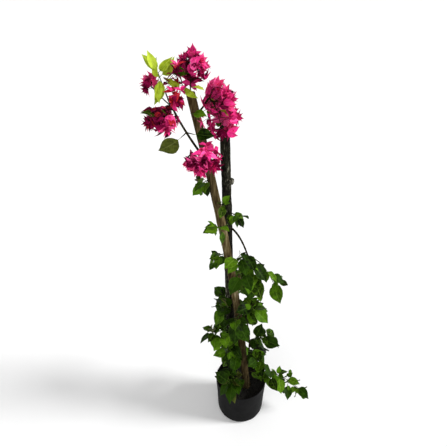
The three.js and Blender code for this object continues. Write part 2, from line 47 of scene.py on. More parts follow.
# The camera: its place in metres, its dip in degrees, its lens and sensor in millimetres.
viewpoint = dict(place=(-0.073, -1.09, 1.61), dip=31.7, lens=32.2, sensor=36)

camera = bpy.data.objects.new("camera", bpy.data.cameras.new("camera"))
camera.location = viewpoint["place"]
camera.rotation_euler = (radians(90 - viewpoint["dip"]), 0, 0)
camera.data.lens = viewpoint["lens"]
camera.data.sensor_width = viewpoint["sensor"]
bpy.context.scene.collection.objects.link(camera)
bpy.context.scene.camera = camera
bpy.context.scene.view_settings.view_transform = "Standard"  # the colours below show as they are


def linear(hexColour):
    channels = [int(hexColour[i:i + 2], 16) / 255 for i in (1, 3, 5)]
    return tuple(c / 12.92 if c <= 0.04045 else ((c + 0.055) / 1.055) ** 2.4
                 for c in channels) + (1.0,)


# Links sources to a node's sockets. A source that is a node gives its first output.
def wire(node, links):
    for key, source in links.items():
        node.id_data.links.new(getattr(source, "outputs", [source])[0], node.inputs[key])


# Adds a node: settings go to its sockets or its own options, links to its sockets.
def addNode(tree, kind, settings=None, links=None):
    node = tree.nodes.new("ShaderNode" + kind)
    for key, value in (settings or {}).items():
        if key == "stops":
            ramp = node.color_ramp
            while len(ramp.elements) < len(value):
                ramp.elements.new(0.5)
            for element, (position, colour) in zip(ramp.elements, value):
                element.position = position
                element.color = linear(colour)
        elif isinstance(key, int) or key in node.inputs:
            node.inputs[key].default_value = value
        else:
            setattr(node, key, value)
    wire(node, links or {})
    return node


# A new material, what adds nodes to it, and its shader. What never changes is set on the sockets.
def newSurface(name, **constants):
    surface = bpy.data.materials.new(name)
    surface.use_nodes = True
    tree = surface.node_tree
    tree.nodes.clear()
    add = partial(addNode, tree)
    shader = add("BsdfPrincipled", constants)
    add("OutputMaterial", links={"Surface": shader})
    return surface, add, shader


studio = dict(floor="#f7f7f7", floorReach=90, floorGlow=0.05,
              walls=1.0, ceiling=0.2, wallTop=(0.42, 0.64),
              keyFrom=(3.0, -0.3, 2.0), keySpread=16, keyStrength=2.9,
              fillFrom=(-0.5, -2.4, 2.2), fillSpread=60, fillStrength=0.8)

floorForm = bmesh.new()
bmesh.ops.create_grid(floorForm, x_segments=1, y_segments=1,
                      size=studio["floorReach"])
floorMesh = bpy.data.meshes.new("floor")
floorForm.to_mesh(floorMesh)
floorForm.free()
# Matt white paint, lit a little by itself so that it stays white under the plant.
floorSurface = newSurface(
    "studioFloor", **{"Base Color": linear(studio["floor"]), "Roughness": 0.9,
                      "Emission Color": linear("#ffffff"),
                      "Emission Strength": studio["floorGlow"]})[0]
floorMesh.materials.append(floorSurface)
floor = bpy.data.objects.new("floor", floorMesh)
bpy.context.scene.collection.objects.link(floor)

world = bpy.data.worlds.new("studio")
bpy.context.scene.world = world
world.use_nodes = True
# White walls under a darker ceiling, so that every view has a plain white ground.
ways = addNode(world.node_tree, "TexCoord")
axes = addNode(world.node_tree, "SeparateXYZ", links={"Vector": ways.outputs["Generated"]})
glow = addNode(world.node_tree, "MapRange",
               {"From Min": studio["wallTop"][0], "From Max": studio["wallTop"][1],
                "To Min": studio["walls"], "To Max": studio["ceiling"]},
               {"Value": axes.outputs["Z"]})
background = world.node_tree.nodes["Background"]
background.inputs["Color"].default_value = linear("#ffffff")
wire(background, {"Strength": glow})


# A wide soft source far away, so that the whole floor is lit alike. Its spread is in degrees.
def softLight(name, source, spread, strength):
    light = bpy.data.lights.new(name, "SUN")
    light.angle = radians(spread)
    light.energy = strength
    holder = bpy.data.objects.new(name, light)
    holder.location = source
    holder.rotation_euler = (-Vector(source)).to_track_quat("-Z", "Y").to_euler()
    bpy.context.scene.collection.objects.link(holder)


softLight("keyLight", studio["keyFrom"], studio["keySpread"], studio["keyStrength"])
softLight("fillLight", studio["fillFrom"], studio["fillSpread"], studio["fillStrength"])
print("stage done")


def array(*values):
    return np.array(values, dtype=float)


def unit(vector):
    return vector / (np.linalg.norm(vector) or 1.0)


up = array(0, 0, 1)
sideways = array(1, 0, 0)
forward = array(0, 1, 0)


# Two directions square to a third, with the first crossed with the second along it.
def squareTo(direction, reference=None):
    if reference is None:
        reference = up if abs(direction[2]) < 0.9 else sideways
    acrossA = unit(np.cross(direction, reference))
    return acrossA, np.cross(direction, acrossA)


# The way out from an axis at a turn round it, in radians.
def outwardAt(axis, turn):
    acrossA, acrossB = squareTo(axis)
    return acrossA * cos(turn) + acrossB * sin(turn)


# A closed tube along a route: a grid rolled up, its last rows drawn in to close the ends.
def tube(form, route, radiusAt, sides, rings, relief=None, level=False):
    rows = [(0, 0), (0, 0.8), *((t, 1) for t in np.linspace(0, 1, rings)), (1, 0.8), (1, 0)]
    grid = bmesh.ops.create_grid(form, x_segments=sides, y_segments=len(rows) - 1, size=1)
    overall = unit(route(1) - route(0))
    reference = up if abs(overall[2]) < 0.9 else sideways
    places = []
    for t, share in rows:
        heading = unit(route(t + 0.01) - route(t - 0.01))
        acrossA, acrossB = (sideways, forward) if level else squareTo(heading, reference)
        places.append((t, share, route(t), acrossA, acrossB))
    for vertex in grid["verts"]:
        turn = (round((vertex.co.x + 1) / 2 * sides) % sides) / sides * 2 * pi
        t, share, centre, acrossA, acrossB = places[round((vertex.co.y + 1) / 2 * (len(rows) - 1))]
        outward = acrossA * cos(turn) + acrossB * sin(turn)
        radius = radiusAt(t)
        if relief:
            radius += relief(turn, t, centre + outward * radius)
        vertex.co = centre + outward * radius * share
    bmesh.ops.remove_doubles(form, verts=grid["verts"], dist=1e-5)


# A form in millimetres as a mesh in metres, its faces turned outwards.
def meshOf(name, form):
    bmesh.ops.recalc_face_normals(form, faces=form.faces[:])
    bmesh.ops.scale(form, vec=(millimetre,) * 3, verts=form.verts[:])
    mesh = bpy.data.meshes.new(name)
    form.to_mesh(mesh)
    form.free()
    return mesh


# Links a mesh, or a form made one, as a piece that stands for its CAD nodes.
def addPiece(name, shape, surfaces, nodes, sharp=50):
    mesh = meshOf(name, shape) if isinstance(shape, bmesh.types.BMesh) else shape
    for surface in surfaces:
        mesh.materials.append(surface)
    mesh.shade_smooth()
    mesh.set_sharp_from_angle(angle=radians(sharp))
    piece = bpy.data.objects.new(name, mesh)
    bpy.context.scene.collection.objects.link(piece)
    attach(piece, "root")
    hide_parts(*nodes)
    print(name, "done,", len(mesh.polygons), "faces")


# The scale of a pattern whose features are this many millimetres across.
def featureScale(size):
    return 1000 / size


# The bag: a wall that leans out to a thin rounded lip, a little uneven and creased.
bag = dict(rim=104, base=95, height=180, wall=2.5, lip=1.6, thins=30, floor=4, flat=40, edge=20,
           swell=0.016, rise=3.2, sides=120)
# Creases in the wall fade out towards the floor, and a hem waves in and out and up and down.
crease = dict(depth=0.9, around=2.2, height=60, fades=25)
hem = dict(out=1.4, rise=0.9, around=5)
soilTop = 135
gap = 0.3  # left where two pieces only meet


def wallRadius(z):
    return bag["base"] + (bag["rim"] - bag["base"]) * z / bag["height"]


# Spins a profile of radius and height about the bag's axis, and softens it as the bag is.
def spun(profile, creased):
    form = bmesh.new()
    verts = [form.verts.new((radius, 0, z)) for radius, z in profile]
    edges = [form.edges.new(pair) for pair in zip(verts, verts[1:])]
    bmesh.ops.spin(form, geom=verts + edges, cent=(0, 0, 0), axis=(0, 0, 1),
                   angle=2 * pi, steps=bag["sides"])
    bmesh.ops.remove_doubles(form, verts=form.verts[:], dist=1e-3)
    for vertex in form.verts:
        turn = atan2(vertex.co.y, vertex.co.x)
        share = max(0, vertex.co.z / bag["height"])
        out = 1 + bag["swell"] * share * sin(3 * turn + 0.6)
        rise = bag["rise"] * share ** 4 * sin(2 * turn + 0.4)
        if creased:
            radius = hypot(vertex.co.x, vertex.co.y)
            around = Vector((cos(turn) * crease["around"], sin(turn) * crease["around"],
                             vertex.co.z / crease["height"]))
            folds = noise.fractal(around, 0.9, 2.2, 4)
            wave = noise.noise(Vector((cos(turn) * hem["around"], sin(turn) * hem["around"], 3.0)))
            if radius > bag["flat"]:
                out += (crease["depth"] * folds * min(1, vertex.co.z / crease["fades"])
                        + hem["out"] * wave * share ** 8) / radius
            rise += hem["rise"] * wave * share ** 8
        vertex.co = (vertex.co.x * out, vertex.co.y * out, vertex.co.z + rise)
    return form


lowerEdge = [(wallRadius(bag["edge"]) - bag["edge"] + bag["edge"] * sin(a),
              bag["edge"] * (1 - cos(a))) for a in np.linspace(0, pi / 2, 8)]
walls = np.linspace(bag["edge"], bag["height"] - 2, 34)[1:]
lip = [(wallRadius(bag["height"]) - bag["lip"] / 2 + bag["lip"] / 2 * cos(a),
        bag["height"] - 0.8 + 0.8 * sin(a)) for a in np.linspace(0.3, pi - 0.3, 5)]
inner = np.linspace(bag["height"] - 2, soilTop - 12, 12)
thicker = bag["wall"] - bag["lip"]
bagForm = spun([
    (0, 0), (bag["flat"], 0),
    *lowerEdge,
    *((wallRadius(z), z) for z in walls),
    *lip,
    *((wallRadius(z) - bag["lip"] - thicker * min(1, (bag["height"] - z) / bag["thins"]), z)
      for z in inner),
    (wallRadius(bag["edge"]) - bag["wall"], bag["edge"] + 4),
    (bag["flat"], bag["floor"]), (0, bag["floor"]),
], True)

# Blown polythene film, black all through: a deep black, dulled by scuffs and by fine crinkles.
bagSurface, add, shader = newSurface("softBlackPolythene", **{"Specular IOR Level": 0.05})
place = add("TexCoord").outputs["Object"]
scuffs = add("TexNoise", {"Scale": featureScale(22), "Detail": 5.0}, {"Vector": place})
tint = add("ValToRGB", {"stops": [(0.3, "#050505"), (0.75, "#131314")]}, {"Fac": scuffs})
gloss = add("MapRange", {"To Min": 0.5, "To Max": 0.72}, {"Value": scuffs})
crinkle = add("TexNoise", {"Scale": featureScale(7), "Detail": 3.0}, {"Vector": place})
dent = add("Bump", {"Strength": 0.25, "Distance": 0.0006}, {"Height": crinkle})
wire(shader, {"Base Color": tint, "Roughness": gloss, "Normal": dent})
addPiece("bag", bagForm, [bagSurface], ["pot"], 60)


# The compost: a bumpy top strewn with crumbs.
soil = dict(bump=3.2, bumpWidth=16, crumbs=520, crumb=(1.4, 3.6), strewn=90,
            sunk=0.4, seed=11)

inset = bag["wall"] + gap
soilForm = spun([
    (0, bag["floor"] + 1), (60, bag["floor"] + 1),
    (wallRadius(60) - inset - 4, 40),
    (wallRadius(soilTop) - inset, soilTop - 6),
    *((radius, soilTop - 0.5) for radius in np.linspace(wallRadius(soilTop) - inset, 0, 40)),
], False)
for vertex in soilForm.verts:
    if vertex.co.z > soilTop - 3:
        spot = Vector((vertex.co.x / soil["bumpWidth"], vertex.co.y / soil["bumpWidth"], 0))
        vertex.co.z += soil["bump"] * (noise.fractal(spot, 0.8, 2.1, 5) - 0.25)
scatterSoil = np.random.default_rng(soil["seed"])
for _ in range(soil["crumbs"]):
    radius, turn = soil["strewn"] * sqrt(scatterSoil.random()), scatterSoil.random() * 2 * pi
    grain = scatterSoil.uniform(*soil["crumb"])
    centre = Vector((radius * cos(turn), radius * sin(turn), soilTop - soil["sunk"]))
    made = bmesh.ops.create_icosphere(soilForm, subdivisions=1, radius=grain,
                                      matrix=Matrix.Translation(centre))
    bmesh.ops.scale(soilForm, vec=scatterSoil.uniform(0.6, 1.2, 3),
                    space=Matrix.Translation(-centre), verts=made["verts"])

# Damp peat, sieved and crumbled: dark brown with drier, paler grains, and no gloss.
soilSurface, add, shader = newSurface("dampPeatPottingSoil", **{"Roughness": 0.95})
place = add("TexCoord").outputs["Object"]
grains = add("TexNoise", {"Scale": featureScale(4), "Detail": 6.0}, {"Vector": place})
tint = add("ValToRGB", {"stops": [(0.35, "#0b0a07"), (0.6, "#1d1912"), (0.8, "#39332a")]},
           {"Fac": grains})
dent = add("Bump", {"Strength": 0.8, "Distance": 0.0015}, {"Height": grains})
wire(shader, {"Base Color": tint, "Normal": dent})
addPiece("pottingSoil", soilForm, [soilSurface], ["soil"])


# The stems: straight from foot to top but for a bow, with a flare at the soil, a swelling at each
# knot, and a stub left by pruning or a healed knob. The thin shoots leave them and arch.
foot = soilTop + gap
stems = {
    "main_stem": dict(foot=(23, -5, foot), top=(-156, -70, 1365), bow=22, radius=(15, 12),
                      flare=4.5, knots=(0.3, 0.56, 0.68, 0.845),
                      stub=dict(at=0.455, reach=(20, -6, 60), radius=(8, 6.5))),
    "old_stem": dict(foot=(-36, 20, foot), top=(-70, 10, 1262), bow=0, radius=(14.5, 14.5),
                     flare=3.5, knots=(0.35, 0.7, 0.76),
                     stub=dict(at=0.842, reach=(19, -12, 1), radius=(14, 9.5))),
}
flareHeight = 26
knot = dict(rise=0.1, length=0.018)
# Each tube's sides and rings.
fineness = dict(stem=((44, 300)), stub=(20, 26),
                knob=(20, 6), shoot=(10, 70), sprig=(7, 14))
shoots = {
    "left_shoot": dict(on="main_stem", at=0.845, reach=(-91, -36, 180), arch=(-6, -2, 0),
                       radius=(3, 2)),
    "right_shoot": dict(on="main_stem", at=0.955, reach=(33, -12, 42), arch=(0, 0, -6),
                        radius=(2.4, 1.8)),
    "arch_shoot": dict(on="old_stem", at=0.698, reach=(69, -48, -98), arch=(4, 0, 18),
                       radius=(3, 2.2)),
    "low_shoot": dict(on="main_stem", at=0.08, reach=(-8, -34, 340), arch=(16, -4, 0),
                      radius=(3.2, 2.2)),
}


def between(first, last, t):
    return first + (last - first) * t


def stemRoute(stem):
    start, end = array(*stem["foot"]), array(*stem["top"])
    return lambda t: between(start, end, t) + sideways * stem["bow"] * sin(pi * t)


def archedRoute(plan):
    start, reach, arch = routes[plan["on"]](plan["at"]), array(*plan["reach"]), array(*plan["arch"])
    return lambda t: start + reach * t + arch * 4 * t * (1 - t)


def stemRadius(stem):
    height = stem["top"][2] - stem["foot"][2]

    def radiusAt(t):
        swell = sum(exp(-((t - at) / knot["length"]) ** 2) for at in stem["knots"])
        return (between(*stem["radius"], t) * (1 + knot["rise"] * swell)
                + stem["flare"] * exp(-height * t / flareHeight))
    return radiusAt


routes = {name: stemRoute(stem) for name, stem in stems.items()}
for name, shoot in shoots.items():
    routes[name] = archedRoute(shoot)

# How the bark stands up from the limb: long low ridges, rough plates and a scar at each knot.
barks = {
    "main_stem": dict(ridge=0.55, around=2.6, along=70, plate=0.25, plateSize=9, scar=1.2),
    "old_stem": dict(ridge=0.7, around=3.2, along=38, plate=1.15, plateSize=6, scar=1.6),
}
# Scars turn round the limb from knot to knot, and flutes run up from the foot and fade. Turns are
# in radians.
scars = dict(length=0.006, turn=2.4)
flutes = dict(depth=1.2, count=5, turn=0.8, fade=40)
stubBark = 0.6  # a stub's relief as a share of its stem's


def barkRelief(stem, bark):
    def relief(turn, t, point):
        around = Vector((cos(turn) * bark["around"], sin(turn) * bark["around"],
                         point[2] / bark["along"]))
        grain = Vector(point / bark["plateSize"]) * 0.5
        grain.z *= 0.4
        cracks = abs(noise.fractal(grain, 0.8, 2.0, 4))
        scarred = sum(exp(-((t - at) / scars["length"]) ** 2) * max(0, cos(turn - scars["turn"] * i))
                      for i, at in enumerate(stem["knots"]))
        fluted = (flutes["depth"] * sin(flutes["count"] * turn + flutes["turn"])
                  * exp(-t * flutes["fade"]))
        return (bark["ridge"] * noise.noise(around) - bark["plate"] * (cracks - 0.4)
                + bark["scar"] * scarred + fluted)
    return relief


# Bark in streaks along the limb, with painted shade from the leaves above: darker towards the soil
# where foot says so.
def barkSurface(name, colours, roughness, streak, grainSize, depth, span=(0.3, 0.7), foot=1.0):
    surface, add, shader = newSurface(name, **{"Roughness": roughness,
                                               "Specular IOR Level": 0.03})
    place = add("TexCoord").outputs["Object"]
    stretched = add("Mapping", {"Scale": (1, 1, streak)}, {"Vector": place})
    streaks = add("TexNoise", {"Scale": featureScale(grainSize), "Detail": 6.0, "Roughness": 0.62},
                  {"Vector": stretched})
    patches = add("TexNoise", {"Scale": featureScale(45), "Detail": 3.0}, {"Vector": stretched})
    blend = add("Mix", {"Factor": 0.45}, {2: streaks, 3: patches})
    stops = [(between(*span, i / (len(colours) - 1)), colour) for i, colour in enumerate(colours)]
    tint = add("ValToRGB", {"stops": stops}, {"Fac": blend})
    # Painted shade: the colour is multiplied by foot at 0.2 m and below, rising to full at 0.75 m.
    height = add("SeparateXYZ", links={"Vector": place})
    paintedShade = add("MapRange", {"From Min": 0.2, "From Max": 0.75, "To Min": foot},
               {"Value": height.outputs["Z"]})
    shaded = add("Mix", {"data_type": "RGBA", "blend_type": "MULTIPLY", 0: 1.0}, {6: tint, 7: paintedShade})
    dent = add("Bump", {"Strength": 0.7, "Distance": depth}, {"Height": streaks})
    wire(shader, {"Base Color": shaded.outputs[2], "Normal": dent})
    return surface


# Young bark is smooth, tan and faintly streaked. Old bark has split into dark plates with grey
# edges. Both are dry, so they have hardly any gloss. Painted shade darkens them towards the foot.
woods = {
    "main_stem": barkSurface("smoothTanBark", ["#150f05", "#382d19", "#5e5135", "#9c9070"],
                             0.75, 0.12, 5, 0.0008, (0.34, 0.68), 0.55),
    "old_stem": barkSurface("roughDarkBark", ["#030302", "#0d0d09", "#2d2c23", "#7e7c6c"],
                            0.9, 0.3, 4, 0.0014, (0.38, 0.66), 0.6),
}
# Green wood just turning brown, thin-skinned: finer streaks and a little more gloss.
twigWood = barkSurface("greenBrownTwigBark", ["#080703", "#1a170b", "#39341c"], 0.7, 0.2, 3, 0.0003)

for name, stem in stems.items():
    form = bmesh.new()
    tube(form, routes[name], stemRadius(stem), *fineness["stem"], barkRelief(stem, barks[name]),
         level=True)
    stub = stem["stub"]
    start, reach = routes[name](stub["at"]), array(*stub["reach"])
    stubRelief = barkRelief(stem, dict(barks[name], scar=0))
    tube(form, lambda t: start + reach * t, lambda t: between(*stub["radius"], t),
         *fineness["stub"], lambda turn, t, point: stubBark * stubRelief(turn, 0.5, point))
    addPiece(name.replace("_s", "S"), meshOf(name, form), [woods[name]], [name])

# The healed cut on the old stem's knob: a pale disc set in its end. Start and end are shares of
# the knob's reach.
knobPlan = dict(start=0.9, end=1.09, radius=6, taper=0.25, rough=0.5)
knob = stems["old_stem"]["stub"]
knobFoot, knobReach = routes["old_stem"](knob["at"]), array(*knob["reach"])
knobForm = bmesh.new()
tube(knobForm, lambda t: knobFoot + knobReach * between(knobPlan["start"], knobPlan["end"], t),
     lambda t: knobPlan["radius"] * (1 - knobPlan["taper"] * t), *fineness["knob"],
     lambda turn, t, point: knobPlan["rough"] * noise.noise(Vector(point / 4)))
# Bare wood that has weathered pale where the cut healed.
healedWood = barkSurface("healedPaleWood", ["#3a3830", "#77756a", "#a5a294"], 0.85, 1, 3, 0.0005)
addPiece("healedKnob", knobForm, [healedWood], ["old_stem"])

shootJoints = dict(count=7, length=0.08, rise=0.16, fuller=1.2)
shootForm = bmesh.new()
for name, shoot in shoots.items():
    def shootRadius(t):
        joints = exp(-((t * shootJoints["count"] % 1 - 0.5) / shootJoints["length"]) ** 2)
        return between(*shoot["radius"], t) * (shootJoints["fuller"] + shootJoints["rise"] * joints)
    tube(shootForm, routes[name], shootRadius, *fineness["shoot"])
addPiece("shoots", shootForm, [twigWood], list(shoots))


# Which way the leaves of a mass turn their upper side.
sky = (0, -0.35, 1)
slant = (0, -0.6, 0.8)
front = (0, -1, 0.4)

# A mass grows from one sprig, which leaves its stem or shoot at a share of its height. The
# pattern is what stands along the sprig: h is a head of bracts on a twig, l a leaf, t a twig
# with three leaves. Aims says which way single large leaves turn. Bract is for heads of blossom.
leafMass = dict(arch=0, pattern="l", bare=0.3, space=0.15, twig=28, spread=60, leaf=60,
                wide=0.39, droop=0.3, aims=(), face=sky, bract=23, end="l")
blossomMass = leafMass | dict(pattern="h", twig=34, spread=80, leaf=44, bract=36, end="h")
aimedMass = leafMass | dict(droop=0, face=front, end="n")

masses = {
    "top_blossom": dict(on="main_stem", at=1, reach=(8, -12, 80), nodes=8, bare=0.12, twig=23,
        spread=78, bract=31, seed=1304),
    "tip_leaves": dict(on="left_shoot", at=1, reach=(-17, -14, 64), nodes=4, bare=0.75, leaf=54,
        wide=0.38,
        aims=((0.3, -0.15, -0.9), (0.85, -0.1, 0.5), (0, -0.3, -0.95), (-0.55, -0.1, 0.8)),
        seed=1415),
    "side_blossom": dict(on="left_shoot", at=0.9, reach=(-52, 8, 54), arch=-4, nodes=2, bare=0.7,
        space=0.75, twig=12, spread=60, bract=29, seed=1097),
    "red_blossom": dict(on="left_shoot", at=0.96, reach=(26, -34, 16), nodes=8, bare=0.2, space=0.3,
        twig=22, spread=78, bract=27, seed=1337),
    "inner_leaves": dict(on="main_stem", at=0.982, reach=(-20, -44, 52), nodes=2, bare=0.84,
        space=0.4, leaf=46, wide=0.36, aims=((-1, -0.1, 0.25), (0.62, -0.2, -0.8)), seed=1181),
    "left_blossom": dict(on="left_shoot", at=0.74, reach=(-48, -24, 4), arch=4, nodes=14, bare=0.12,
        twig=32, spread=82, bract=35, seed=1502),
    "right_blossom": dict(on="right_shoot", at=1, reach=(34, 20, -84), arch=20, nodes=15, bare=0.02,
        twig=37, seed=1113),
    "low_blossom": dict(on="main_stem", at=0.866, reach=(-12, -52, 2), arch=6, nodes=11, bare=0.36,
        spread=85, seed=1585),
    "round_leaf": dict(on="left_shoot", at=0.5, reach=(-14, -10, -10), nodes=1, bare=0.7, leaf=68,
        wide=0.46, aims=((-0.85, -0.2, -0.5),), seed=1103),
    "fork_leaf": dict(on="left_shoot", at=0.5, reach=(22, -26, 4), nodes=1, bare=0.75, leaf=58,
        wide=0.42, aims=((1, -0.2, 0.1),), seed=1513),
    "collar_leaf": dict(on="main_stem", at=0.955, reach=(-10, -29, 10), nodes=1, bare=0.7, leaf=42,
        wide=0.4, aims=((0.85, -0.3, 0),), seed=1392),
    "high_spur": dict(on="main_stem", at=0.8, reach=(-24, -14, -6), arch=3, nodes=3, bare=0.5,
        leaf=46, face=slant, seed=1329),
    "nook_leaf": dict(on="main_stem", at=0.735, reach=(24, -26, 8), nodes=2, bare=0.4, leaf=30,
        end="n", seed=1178),
    "cross_leaves": dict(on="main_stem", at=0.675, reach=(-8, -40, 4), nodes=3, bare=0.5, leaf=42,
        end="n", seed=1019),
    "cross_right": dict(on="old_stem", at=0.745, reach=(30, -40, 2), arch=4, nodes=3, bare=0.4,
        leaf=40, seed=1313),
    "arch_upper": dict(on="arch_shoot", at=0.88, reach=(-32, -46, 10), arch=8, nodes=5, bare=0.25,
        leaf=56, droop=0.5, seed=1330),
    "arch_leaves": dict(on="arch_shoot", at=1, reach=(38, -6, -146), nodes=13, pattern="ltlltl",
        bare=0.02, twig=36, seed=1630),
    "left_spur": dict(on="main_stem", at=0.58, reach=(-40, -12, -10), arch=6, nodes=4, leaf=38,
        seed=1007),
    "low_shoot_top": dict(on="low_shoot", at=1, reach=(24, -10, 70), nodes=9, pattern="ltl",
        bare=0.02, twig=30, leaf=64, seed=1094),
    "pair_right": dict(on="arch_shoot", at=0.97, reach=(92, 6, -118), arch=26, nodes=4, bare=0.62,
        space=0.6, leaf=56, seed=1028),
    "low_front": dict(on="main_stem", at=0.34, reach=(-10, -56, 44), nodes=6, bare=0.35, leaf=62,
        seed=1586),
    "low_left": dict(on="main_stem", at=0.37, reach=(-62, -14, 20), arch=8, nodes=8, pattern="ltl",
        bare=0.25, twig=30, seed=1557),
    "left_sprig": dict(on="main_stem", at=0.27, reach=(-104, -34, 36), arch=10, nodes=7,
        pattern="lltl", bare=0.35, leaf=54, seed=1106),
    "right_sprig": dict(on="low_shoot", at=0.6, reach=(78, 10, -6), arch=12, nodes=7, pattern="ltl",
        bare=0.2, leaf=62, seed=1620),
    "foot_right": dict(on="low_shoot", at=0.36, reach=(38, -18, 30), arch=6, nodes=9, pattern="ltl",
        bare=0.15, twig=32, leaf=62, seed=1428),
    "foot_left": dict(on="main_stem", at=0.18, reach=(-58, -24, 34), arch=8, nodes=9, pattern="ltl",
        bare=0.25, twig=30, leaf=58, seed=1036),
    "pot_sprig": dict(on="main_stem", at=0.07, reach=(236, -26, -84), arch=50, nodes=12,
        pattern="lltlll", bare=0.22, twig=24, leaf=52, seed=1035),
    "pot_left": dict(on="main_stem", at=0.05, reach=(-66, -52, 28), arch=14, nodes=7, pattern="ltl",
        twig=26, leaf=62, seed=1463),
    "pot_back": dict(on="main_stem", at=0.09, reach=(50, 40, 10), arch=10, nodes=6, pattern="ltl",
        twig=26, leaf=52, seed=1012),
    "back_leaves": dict(on="old_stem", at=0.24, reach=(6, 66, 60), arch=10, nodes=9, pattern="ltl",
        bare=0.25, twig=34, seed=1134),
    "back_foot": dict(on="old_stem", at=0.11, reach=(-22, 64, 16), arch=10, nodes=8, pattern="ltl",
        bare=0.35, space=0.55, twig=30, leaf=58, seed=1298),
    "back_right": dict(on="old_stem", at=0.3, reach=(76, 42, 24), arch=12, nodes=8, pattern="ltl",
        bare=0.35, space=0.55, twig=30, leaf=58, seed=1578),
    "back_upper": dict(on="old_stem", at=0.45, reach=(62, 46, 26), arch=10, nodes=8, pattern="ltl",
        bare=0.35, space=0.55, leaf=56, seed=1607),
    "back_left": dict(on="old_stem", at=0.4, reach=(-20, 72, -40), arch=10, nodes=8, pattern="ltl",
        bare=0.35, space=0.55, leaf=56, seed=1492),
}
masses = {name: (blossomMass if name.endswith("blossom") else aimedMass if "aims" in own
                 else leafMass) | own for name, own in masses.items()}

# A leaf and a bract as the space test sees them: corners as shares of the length and half width.
leafShape = dict(outline=((0, 0), (0.28, -0.92), (0.66, -0.66), (1, 0), (0.66, 0.66), (0.28, 0.92)),
                 stand=0.2, fold=0.22, curl=0.12)
bractShape = dict(outline=((0, 0), (0.5, -1), (1, 0), (0.5, 1)), fold=0.25, curl=0.08)
middle = 0.45

# A head's rings, from the outside in: the cone in degrees, how many bracts and their size. The
# closer rings fill it.
head = dict(slim=0.34, rings=((78, 3, 1.0), (40, 2, 0.85)),
            closer=((64, 4, 0.88), (40, 3, 0.92), (16, 3, 0.84)))
room = dict(floor=6, bag=4, limb=2, mass=2)  # what leaves keep, round each and between masses
aim = dict(pull=3, length=1.1, girth=80)

# How the growth is drawn, angles in degrees. A pair is the start of a range and its width, and a
# swing is a width to both sides of none. A leaf's heading is mixed from the way out, the way on
# and its lift, and its upper side tips towards the way out.
drawn = dict(turn=137.5, turnSwing=50, leafLength=(0.8, 0.4), liftSwing=0.5, rollSwing=80,
             out=0.85, on=0.4, tip=0.25, headLength=(0.85, 0.3), headTurnSwing=0.5, coneSwing=26,
             endHead=1.05)
# A twig: its spread and length as shares of the mass's own, how far it lifts, and its leaves, by
# where each stands, its side and its size.
ruledTwig = dict(spread=(0.8, 0.4), length=(0.7, 0.6), lift=0, endLeaf=0.9, thick=1.0,
                 leaves=((0.45, 1, 0.85), (0.75, -1, 0.85)))
finerTwig = dict(spread=(0.7, 0.5), length=(0.5, 0.6), lift=0.15, endLeaf=1, thick=0.65,
                 leaves=((0.5, 1, 1), (0.8, -1, 1)))


# The same numbers for the same seed: a Park-Miller generator, its first three draws thrown away.
def seeded(seed):
    state = seed

    def draw():
        nonlocal state
        state = state * 48271 % 2147483647
        return state / 2147483647
    for _ in range(3):
        draw()
    return draw


def sprigRoute(plan):
    return archedRoute(plan | dict(arch=(0, 0, plan["arch"])))


def sprigHeading(plan, t):
    rise = plan["reach"][2] + plan["arch"] * 4 * (1 - 2 * t)
    return unit(array(plan["reach"][0], plan["reach"][1], rise))


def nodeAt(plan, i):
    return plan["bare"] + (1 - plan["bare"]) * (i + 0.5) / plan["nodes"]


def linesAlong(route, start, count):
    stops = [route(between(start, 1, i / count)) for i in range(count + 1)]
    return list(zip(stops, stops[1:]))


# The lines that a mass's space is measured from: its sprig's, and those of the leaves it aims.
def linesOf(plan):
    route = sprigRoute(plan)
    aimed = []
    for i, way in enumerate(plan["aims"]):
        root = route(nodeAt(plan, i))
        aimed.append((root, root + unit(array(*way)) * plan["leaf"] * aim["length"]))
    return linesAlong(route, plan["space"], 5) + aimed


limbLines, limbRooms = [], []
for name, limb in (stems | shoots).items():
    count = 16 if name in stems else 8
    radii = [between(*limb["radius"], i / count) for i in range(count + 1)]
    limbLines += linesAlong(routes[name], 0, count)
    limbRooms += [max(pair) + room["limb"] for pair in zip(radii, radii[1:])]
massLines, lineOwners = [], []
for name, plan in masses.items():
    lines = linesOf(plan)
    massLines += lines
    lineOwners += [name] * len(lines)
limbLines, massLines = np.array(limbLines), np.array(massLines)
limbRooms, lineOwners = np.array(limbRooms), np.array(lineOwners)


# Distances from each of some points to each of some lines.
def distances(points, lines):
    start, span = lines[:, 0], lines[:, 1] - lines[:, 0]
    offset = points[:, None] - start
    share = np.clip((offset * span).sum(2) / (span * span).sum(1), 0, 1)
    return np.linalg.norm(offset - share[..., None] * span, axis=2)


# True where every point is clear of the floor, bag and limbs, and nearer its own mass's lines.
def isFree(points, name, loose=False):
    points = np.atleast_2d(points)
    radius, height = np.hypot(points[:, 0], points[:, 1]), points[:, 2]
    within = radius < bag["rim"] - bag["wall"] - 2 * room["bag"]
    clear = (height > bag["height"] + room["bag"]) | np.where(
        within, height > soilTop + room["bag"], radius > bag["rim"] + room["bag"])
    if not (clear & (height >= room["floor"])).all():
        return False
    if not (distances(points, limbLines) >= limbRooms).all():
        return False
    if loose:
        return True
    toLines = distances(points, massLines)
    own = toLines[:, lineOwners == name].min(1)
    return bool((toLines[:, lineOwners != name].min(1) >= own + room["mass"]).all())


def bladeProbes(blade):
    shape = blade["shape"]
    ring = np.array([
        blade["base"] + blade["heading"] * u * blade["length"] + blade["side"] * v * blade["width"]
        + blade["face"] * (shape["fold"] * abs(v) * blade["width"]
                           - shape["curl"] * blade["length"] * u * u)
        for u, v in shape["outline"]])
    centre = between(ring[0], ring[len(ring) // 2], middle)
    return np.vstack([ring[1:], centre, (ring + np.roll(ring, -1, 0)) / 2])


